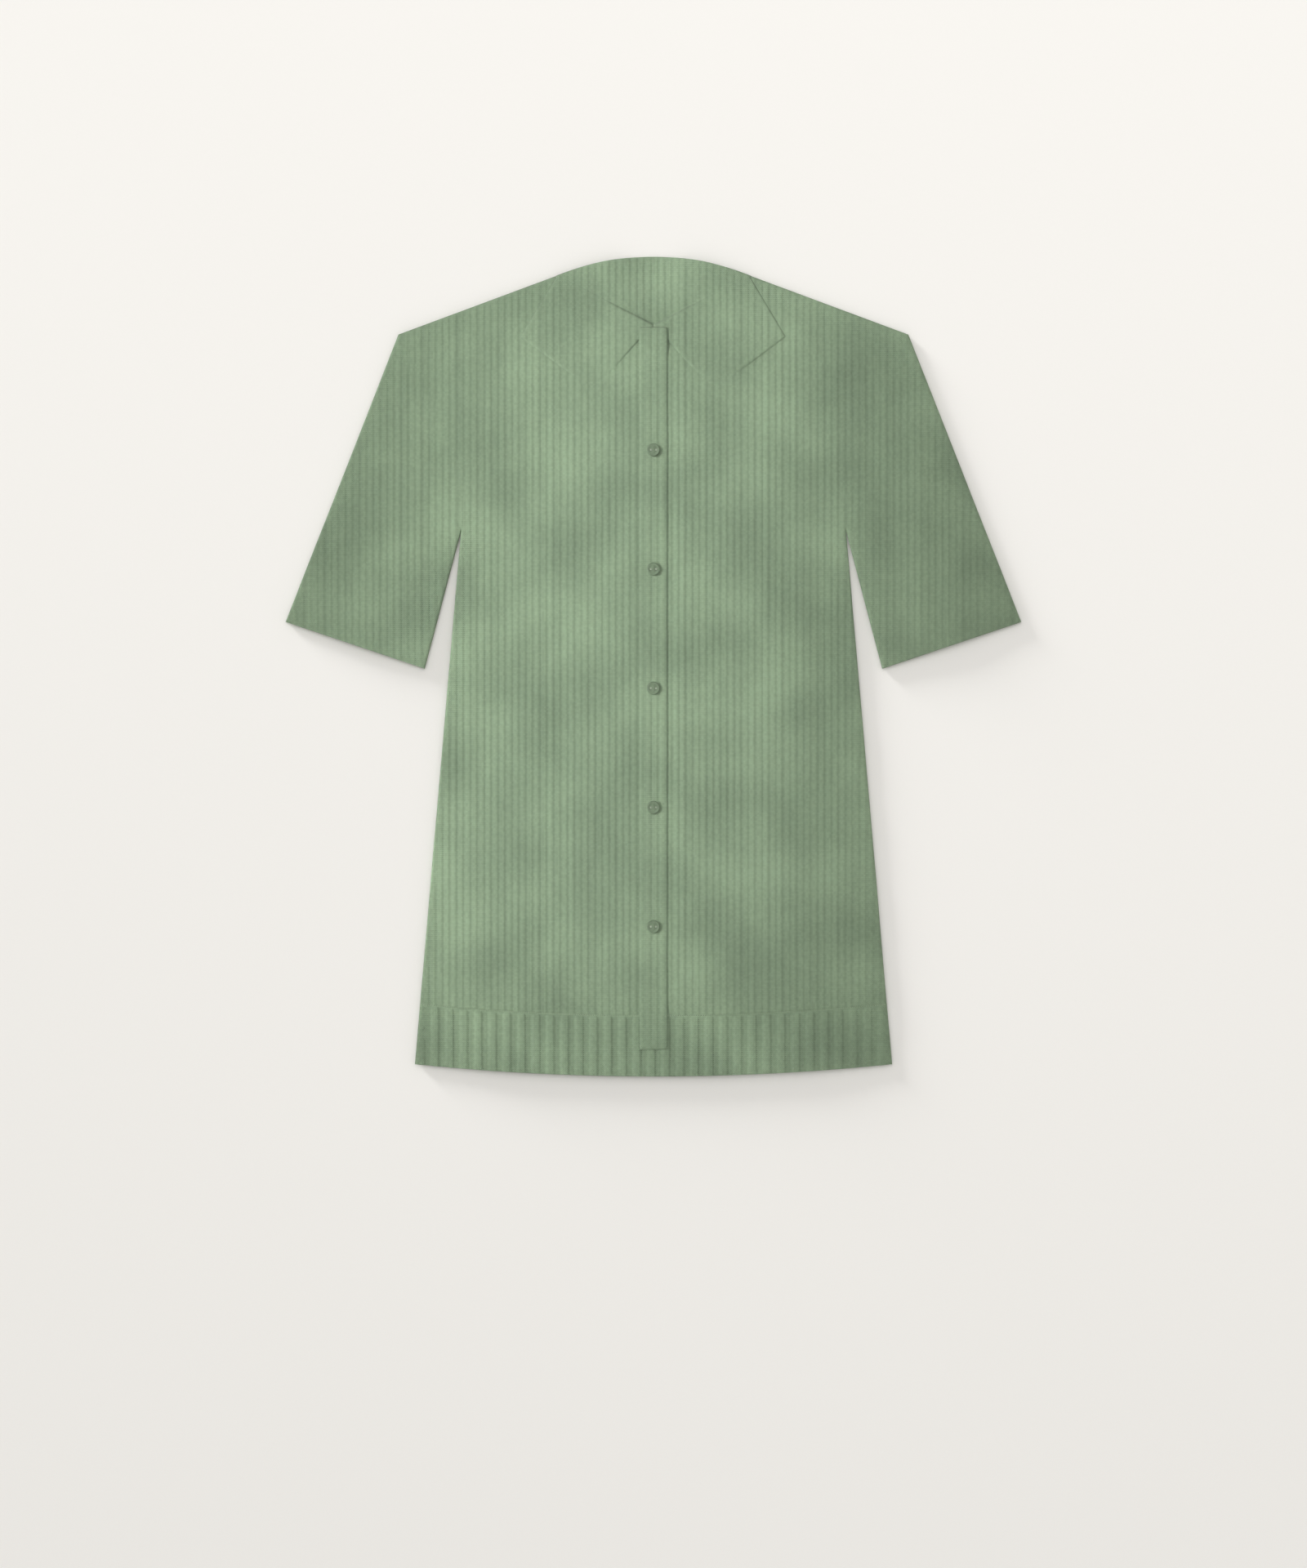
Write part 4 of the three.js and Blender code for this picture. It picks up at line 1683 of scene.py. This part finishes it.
@dataclass
class ShirtButton:
    """A two-hole button, sewn on with thread. Its profile runs from the seat round the rim to the dish.

    Turn is how far it is turned in its place, in radians. A knot winds up to its height while its
    radius, at first the hole's less the inset, closes as the cosine of an angle that grows to
    knot_close. A leg runs between two levels, and leans in to a share of the hole's distance.
    """

    room: Workroom
    name: str
    y: float
    seat: float
    turn: float = 0.0
    sides: int = 40
    hole_at: float = 2.3
    hole_radius: float = 0.95
    hole_sides: int = 14
    thread_radius: float = 0.3
    knot_steps: int = 36
    knot_turns: float = 3.0
    knot_height: float = 0.55
    knot_inset: float = 0.28
    knot_close: float = 1.35
    leg_ends: tuple[float, float] = (0.3, -0.9)
    leg_lean: float = 0.3
    shank_radius: float = 1.0
    shank_depth: float = 5.0
    shank_steps: int = 60
    shank_turns: float = 8.0
    profile: tuple[tuple[float, float], ...] = (
        (4.4, 0.0),
        (5.2, 0.22),
        (5.62, 0.7),
        (5.75, 1.3),
        (5.68, 1.8),
        (5.4, 2.15),
        (4.95, 2.3),
        (4.45, 2.25),
        (4.05, 2.1),
        (3.8, 2.0),
    )

    def circle(self, radius: float, sides: int, centre: float = 0.0) -> Array:
        """Return points on a circle, anticlockwise."""
        angle = np.arange(sides) * 2.0 * math.pi / sides
        return np.column_stack([centre + radius * np.cos(angle), radius * np.sin(angle)])

    def face(self, radius: float) -> tuple[Array, Array]:
        """Make a round face with two holes.

        Args:
            radius: Its radius.

        Returns:
            Its points, first those of the rim and then those of the holes, and its triangles.
        """
        centres = (-self.hole_at, self.hole_at)
        ring = self.circle(radius, self.sides)
        inner = np.vstack([self.circle(self.hole_radius, self.hole_sides, centre) for centre in centres])
        xy = np.vstack([ring, inner])
        triangles = filled(ring, inner)
        x, y = xy[triangles].mean(axis=1).T
        open_radius = self.hole_radius * 0.9
        kept = np.all([np.hypot(x - centre, y) > open_radius for centre in centres], axis=0)
        return xy, triangles[kept]

    def disc(self) -> bpy.types.Object:
        """Make the disc.

        Returns:
            The disc, with its seat at the level 0.
        """
        wall = Wall()
        seat_xy, seat_faces = self.face(self.profile[0][0])
        dish_xy, dish_faces = self.face(self.profile[-1][0])
        seat = wall.add(seat_xy, np.zeros(len(seat_xy)), seat_faces, 0.0)
        dish = wall.add(dish_xy, np.full(len(dish_xy), self.profile[-1][1]), dish_faces, 0.0)
        around = np.append(np.arange(self.sides), 0)
        below = seat + around
        for radius, z in self.profile[1:-1]:
            ring = self.circle(radius, self.sides)
            start = wall.add(ring, np.full(len(ring), z), np.zeros((0, 3), int), 0.0)
            wall.strip(below, start + around)
            below = start + around
        wall.strip(below, dish + around)
        hole = np.append(np.arange(self.hole_sides), 0)
        for first in (self.sides, self.sides + self.hole_sides):
            wall.strip(seat + first + hole, dish + first + hole)
        made = wall.object(self.name + "_disc")
        made.data.materials.append(self.room.button)
        made.data.shade_smooth()
        return made

    def knot(self, side: float) -> list[Place]:
        """Wind a knot in a hole.

        Args:
            side: -1 for the left hole and 1 for the right one.

        Returns:
            The places of its thread.
        """
        places = []
        for k in range(self.knot_steps + 1):
            share = k / self.knot_steps
            angle = 2.0 * math.pi * self.knot_turns * share
            radius = (self.hole_radius - self.knot_inset) * math.cos(share * self.knot_close)
            x, y = side * self.hole_at + radius * math.cos(angle), radius * math.sin(angle)
            places.append((x, y, self.profile[-1][1] + self.knot_height * share))
        return places

    def leg(self, side: float) -> list[Place]:
        """Return the places of the thread that goes down through a hole, leaning to the shank."""
        x, (above, below) = side * self.hole_at, self.leg_ends
        return [(x, 0.0, self.profile[-1][1] + above), (x * self.leg_lean, 0.0, below)]

    def shank(self) -> list[Place]:
        """Wind the shank under the button.

        Returns:
            The places of its thread.
        """
        places = []
        for k in range(self.shank_steps + 1):
            angle = 2.0 * math.pi * self.shank_turns * k / self.shank_steps
            radius = self.shank_radius - self.thread_radius
            z = -self.shank_depth * k / self.shank_steps
            places.append((radius * math.cos(angle), radius * math.sin(angle), z))
        return places

    def strands(self) -> bpy.types.Object:
        """Make the thread: a knot in each hole, a leg down through it, and a wound shank.

        Returns:
            The thread, with the button's seat at the level 0.
        """
        name = self.name + "_thread"
        curve = bpy.data.curves.new(name, "CURVE")
        curve.dimensions = "3D"
        curve.bevel_depth = self.thread_radius * MM
        curve.bevel_resolution = 2
        curve.resolution_u = 4
        curve.use_fill_caps = True
        for places in (self.knot(-1.0), self.leg(-1.0), self.knot(1.0), self.leg(1.0), self.shank()):
            spline = curve.splines.new("POLY")
            spline.points.add(len(places) - 1)
            for point, place in zip(spline.points, places):
                point.co = (*(c * MM for c in place), 1.0)
        source = placed(name, curve)
        seen = source.evaluated_get(bpy.context.evaluated_depsgraph_get())
        mesh = bpy.data.meshes.new_from_object(seen)
        bpy.data.objects.remove(source)
        mesh.materials.append(self.room.thread)
        mesh.shade_smooth()
        return placed(name, mesh)

    def build(self) -> None:
        """Make the button and its thread in their place."""
        turned = Matrix.Rotation(self.turn, 4, "Z")
        seated = Matrix.Translation((0.0, self.y * MM, self.seat * MM)) @ turned
        for piece, nodes in ((self.disc(), [self.name]), (self.strands(), [])):
            piece.data.transform(seated)
            settle(piece, "button", *nodes)


@dataclass
class Collar:
    """The collar: flat and open behind the neck, rolled over on to the fronts in two leaves.

    Turn and climb are how far from the middle, in mm, the roll turns into one flat layer and the back
    climbs to the leaves. Seam_drop and tuck_past are where the leaf's underside drops to the neck seam
    and where the back tucks under the leaf, measured from the roll line. The leaf is fullest at full_at,
    pressed thin within tip_reach, and the back slopes up over back_slope, a step below the leaf's top.
    """

    room: Workroom
    leaf_wall: float = 1.05
    fullness: float = 0.5
    full_at: float = 7.0
    tip_pressed: float = 0.9
    tip_reach: float = 44.0
    seam_drop: tuple[float, float] = (3.0, 5.0)
    centre_gap: float = 0.12
    turn: tuple[float, float] = (22.0, 48.0)
    climb: tuple[float, float] = (10.0, 48.0)
    arch_end: float = 80.0
    back_wall: float = 1.5
    back_lift: float = 3.4
    back_slope: float = 45.0
    back_step: float = 0.02
    tuck: float = 1.9
    tuck_past: tuple[float, float] = (1.2, 3.7)
    sharp_angle: float = 60.0

    def leaf_outline(self) -> Outline:
        """Draw the right leaf.

        Returns:
            Its outline.
        """
        p = PATTERN
        centre = (self.centre_gap, p.centre_front)
        inner = (self.centre_gap, p.neck_seam_end)
        behind = (p.band_half, p.neck_seam_end)
        return Outline(
            [
                (line(inner, behind), Edge.CUT),
                (line(behind, p.leaf_tip), Edge.PRESSED),
                (line(p.leaf_tip, p.leaf_out), Edge.PRESSED),
                (line(p.leaf_out, p.neck_side), Edge.PRESSED),
                (line(p.neck_side, centre), Edge.ROLL),
                (line(centre, inner), Edge.CUT),
            ]
        )

    def crescent(self) -> Outline:
        """Draw the back of the collar, between the back neck seam and the arch.

        Returns:
            Its outline.
        """
        p = PATTERN
        seam_end, end = p.shoulder_neck[0], self.arch_end
        side = line(p.shoulder_neck, (end, float(p.arch(np.array(end)))))
        return Outline(
            [
                (p.along(p.neck_back, -seam_end, seam_end, steps=40), Edge.CUT),
                (side, Edge.CUT),
                (p.along(p.arch, end, -end, steps=60), Edge.CUT),
                (mirrored(side), Edge.CUT),
            ]
        )

    def past_roll(self, xy: Array) -> Array:
        """Return how far points lie past the roll line, on the leaf's side.

        Args:
            xy: The points, on either half.

        Returns:
            Their distances from the line, less than 0 behind it.
        """
        start = np.array((0.0, PATTERN.centre_front))
        run = np.array(PATTERN.neck_side) - start
        normal = np.array((run[1], -run[0])) / np.linalg.norm(run)
        return (np.column_stack([np.abs(xy[:, 0]), xy[:, 1]]) - start) @ normal

    def turning(self, xy: Array) -> Array:
        """Return how far the roll has turned into one flat layer, from 0 in front to 1 at the sides."""
        return ramp(np.abs(xy[:, 0]), *self.turn)

    def climbing(self, xy: Array) -> Array:
        """Return how far the back of the collar has climbed to the leaves, from 0 to 1."""
        return ramp(np.abs(xy[:, 0]), *self.climb)

    def leaf_under(self, xy: Array) -> Array:
        """Return the level of the leaf's underside, which drops to the neck seam at the roll.

        Args:
            xy: The points.

        Returns:
            Their levels.
        """
        away = np.abs(self.past_roll(xy)) - PATTERN.gap
        depth = LEVELS.wall + LEVELS.layer_gap
        drop = 1.0 - ramp(away, *self.seam_drop)
        turning = self.turning(xy)
        return LEVELS.cover(xy) - depth * drop * (1.0 - turning) - turning * Edge.ROLL.drop(away, False)

    def leaf_over(self, xy: Array) -> Array:
        """Return the level of the leaf's grooves, full along the roll and pressed thin at the tip.

        Args:
            xy: The points.

        Returns:
            Their levels.
        """
        away = np.abs(self.past_roll(xy)) - PATTERN.gap
        turning = self.turning(xy)
        full = self.fullness * np.exp(-(((away - self.full_at) / self.full_at) ** 2)) * (1.0 - turning)
        from_tip = np.hypot(np.abs(xy[:, 0]) - PATTERN.leaf_tip[0], xy[:, 1] - PATTERN.leaf_tip[1])
        pressed = self.tip_pressed * (1.0 - smooth(from_tip / self.tip_reach))
        return LEVELS.cover(xy) + self.leaf_wall + full - pressed + turning * Edge.ROLL.drop(away, True)

    def back_rise(self, xy: Array) -> Array:
        """Return the level of the back's underside, which climbs to run on into the leaves at its sides.

        Args:
            xy: The points.

        Returns:
            Their levels.
        """
        side = np.minimum(np.abs(xy[:, 0]), PATTERN.neck_side[0])
        on_roll = np.column_stack([side, PATTERN.roll(side)])
        past = self.past_roll(xy)
        resting = self.back_lift * smooth(1.0 + past / self.back_slope)
        edge = LEVELS.cover(on_roll) + self.leaf_wall - self.back_wall - self.back_step
        tucked = self.tuck * ramp(past, *self.tuck_past)
        return resting + self.climbing(xy) * (edge - resting - tucked)

    def build(self) -> None:
        """Make the two leaves and the back."""
        leaf, crescent = self.leaf_outline(), self.crescent()
        cloth = Cloth(rib=COLLAR_RIB, row=4.0)
        parts = []
        for name, half in (("leaf_right", leaf), ("leaf_left", opposite(leaf))):
            part = cloth.panel(name, half, self.leaf_under, self.leaf_over, Underside.NESTED)
            self.room.knitted(part, COLLAR_RIB)
            part.data.set_sharp_from_angle(angle=math.radians(self.sharp_angle))
            parts.append(part)
        cloth = Cloth(rib=COLLAR_RIB, row=2.0, coarse=5.0)
        over = raised(self.back_rise, self.back_wall)
        back = cloth.panel("collar_back", crescent, self.back_rise, over)
        parts.append(self.room.knitted(back, COLLAR_RIB))
        collar = joined("collar_knit", parts)
        settle(collar, "knit", "collar")


def joined(name: str, parts: list[bpy.types.Object]) -> bpy.types.Object:
    """Make one object of several, with all their materials.

    Args:
        name: Its name.
        parts: The objects, which are used up.

    Returns:
        The object.
    """
    shell = bmesh.new()
    materials: list[bpy.types.Material] = []
    for part in parts:
        start = len(shell.faces)
        shell.from_mesh(part.data)
        shell.faces.ensure_lookup_table()
        for face in shell.faces[start:]:
            material = part.data.materials[face.material_index]
            if material not in materials:
                materials.append(material)
            face.material_index = materials.index(material)
    mesh = bpy.data.meshes.new(name)
    shell.to_mesh(mesh)
    shell.free()
    for material in materials:
        mesh.materials.append(material)
    for part in parts:
        bpy.data.objects.remove(part)
    return placed(name, mesh)


@dataclass
class Seams:
    """Linked stitches that join the hem band to the fronts: their level and how far they run."""

    room: Workroom
    lift: float = 0.48
    clear_of_side: float = 2.0
    clear_of_band: float = 1.0
    steps: int = 40

    def build(self) -> None:
        """Make the stitches on each side of the button band."""
        p = PATTERN
        level = raised(LEVELS.groove, self.lift)
        near, far = p.band_half + self.clear_of_band, p.side_low[0] - self.clear_of_side
        for name, start, end in (("hem_seam_left", -far, -near), ("hem_seam_right", near, far)):
            path = p.along(p.hem_seam, start, end, self.steps)
            settle(self.room.seam_along(name, path, level), "knit")


class Reach(Enum):
    """What a lamp lights, by the link state that the ground has in it."""

    EVERYTHING = ""
    SHIRT = "EXCLUDE"
    GROUND = "INCLUDE"


@dataclass
class Lamp:
    """A soft studio light that faces a point on the shirt: its place, its strength and what it lights.

    The size is metres for a panel and degrees for a sun. The spread is degrees.
    """

    name: str
    kind: str
    place: Place
    power: float
    size: tuple[float, float]
    reach: Reach
    spread: float = 180.0
    aim: Place = (0.0, 0.0, 0.0)

    def hang(self, ground: bpy.types.Object) -> None:
        """Hang the lamp.

        Args:
            ground: The ground, which the lamp may leave out or light alone.
        """
        data = bpy.data.lights.new(self.name, self.kind)
        data.energy = self.power
        if self.kind == "SUN":
            data.angle = math.radians(self.size[0])
        else:
            data.shape = "RECTANGLE"
            data.size, data.size_y = self.size
            data.spread = math.radians(self.spread)
        made = placed(self.name, data)
        made.location = self.place
        heading = Vector(self.aim) - Vector(self.place)
        made.rotation_euler = heading.to_track_quat("-Z", "Y").to_euler()
        if self.reach is not Reach.EVERYTHING:
            group = bpy.data.collections.new(self.name + "_reach")
            group.objects.link(ground)
            group.collection_objects[0].light_linking.link_state = self.reach.value
            made.light_linking.receiver_collection = group


@dataclass
class Studio:
    """The pale ground, the soft light from the upper left and the camera straight above."""

    photo_scale: float = 0.72
    photo_size: tuple[int, int] = (1600, 1920)
    photo_centre_y: float = 816.0
    lens: float = 100.0
    sensor: float = 36.0
    sky: float = 0.62
    sky_colour: Colour = (1.0, 0.99, 0.97, 1.0)
    ground_reach: float = 3.0
    ground_level: float = -0.0003
    lamps: tuple[Lamp, ...] = (
        Lamp("strip", "AREA", (-3.5, 0.75, 2.85), 0.9, (0.98, 0.22), Reach.SHIRT, 6.6, (-0.045, 0.1, 0.0)),
        Lamp("raking", "SUN", (-0.8, 0.75, 0.145), 3.9, (14.0, 14.0), Reach.GROUND),
        Lamp("overhead", "SUN", (-0.2, 0.3, 1.0), 0.5, (40.0, 40.0), Reach.GROUND),
        Lamp("fill", "AREA", (0.3, 1.3, 2.4), 6.0, (2.0, 2.0), Reach.EVERYTHING),
    )

    def camera(self) -> None:
        """Place the camera as the photograph is framed."""
        height = self.photo_size[1] * self.photo_scale * MM
        data = bpy.data.cameras.new("camera")
        data.lens = self.lens
        data.sensor_width = self.sensor
        data.sensor_fit = "AUTO"
        made = placed("camera", data)
        aim = (self.photo_centre_y - self.photo_size[1] / 2.0) * self.photo_scale * MM
        made.location = (0.0, aim, height * self.lens / self.sensor)
        bpy.context.scene.camera = made

    def ground(self) -> bpy.types.Object:
        """Lay the ground just under the shirt.

        Returns:
            The ground.
        """
        r, z = self.ground_reach, self.ground_level
        mesh = bpy.data.meshes.new("ground")
        mesh.from_pydata([(-r, -r, z), (r, -r, z), (r, r, z), (-r, r, z)], [], [(0, 1, 2, 3)])
        mesh.materials.append(Paper().build())
        made = placed("ground", mesh)
        return made

    def build(self) -> None:
        """Set up everything around the shirt."""
        scene = bpy.context.scene
        scene.view_settings.view_transform = "Standard"
        world = bpy.data.worlds.new("studio")
        world.use_nodes = True
        sky = world.node_tree.nodes["Background"]
        sky.inputs["Color"].default_value = self.sky_colour
        sky.inputs["Strength"].default_value = self.sky
        scene.world = world
        self.camera()
        ground = self.ground()
        for lamp in self.lamps:
            lamp.hang(ground)


def main() -> None:
    """Build the shirt and its setting, and report each piece."""
    logging.basicConfig(level=logging.INFO, format="%(name)s: %(message)s")
    Studio().build()
    room = Workroom.opened()
    Body(room).build()
    Sleeve(room).build()
    HemBand(room).build()
    Opening(room).build()
    Collar(room).build()
    Seams(room).build()


if __name__ == "__main__":
    main()
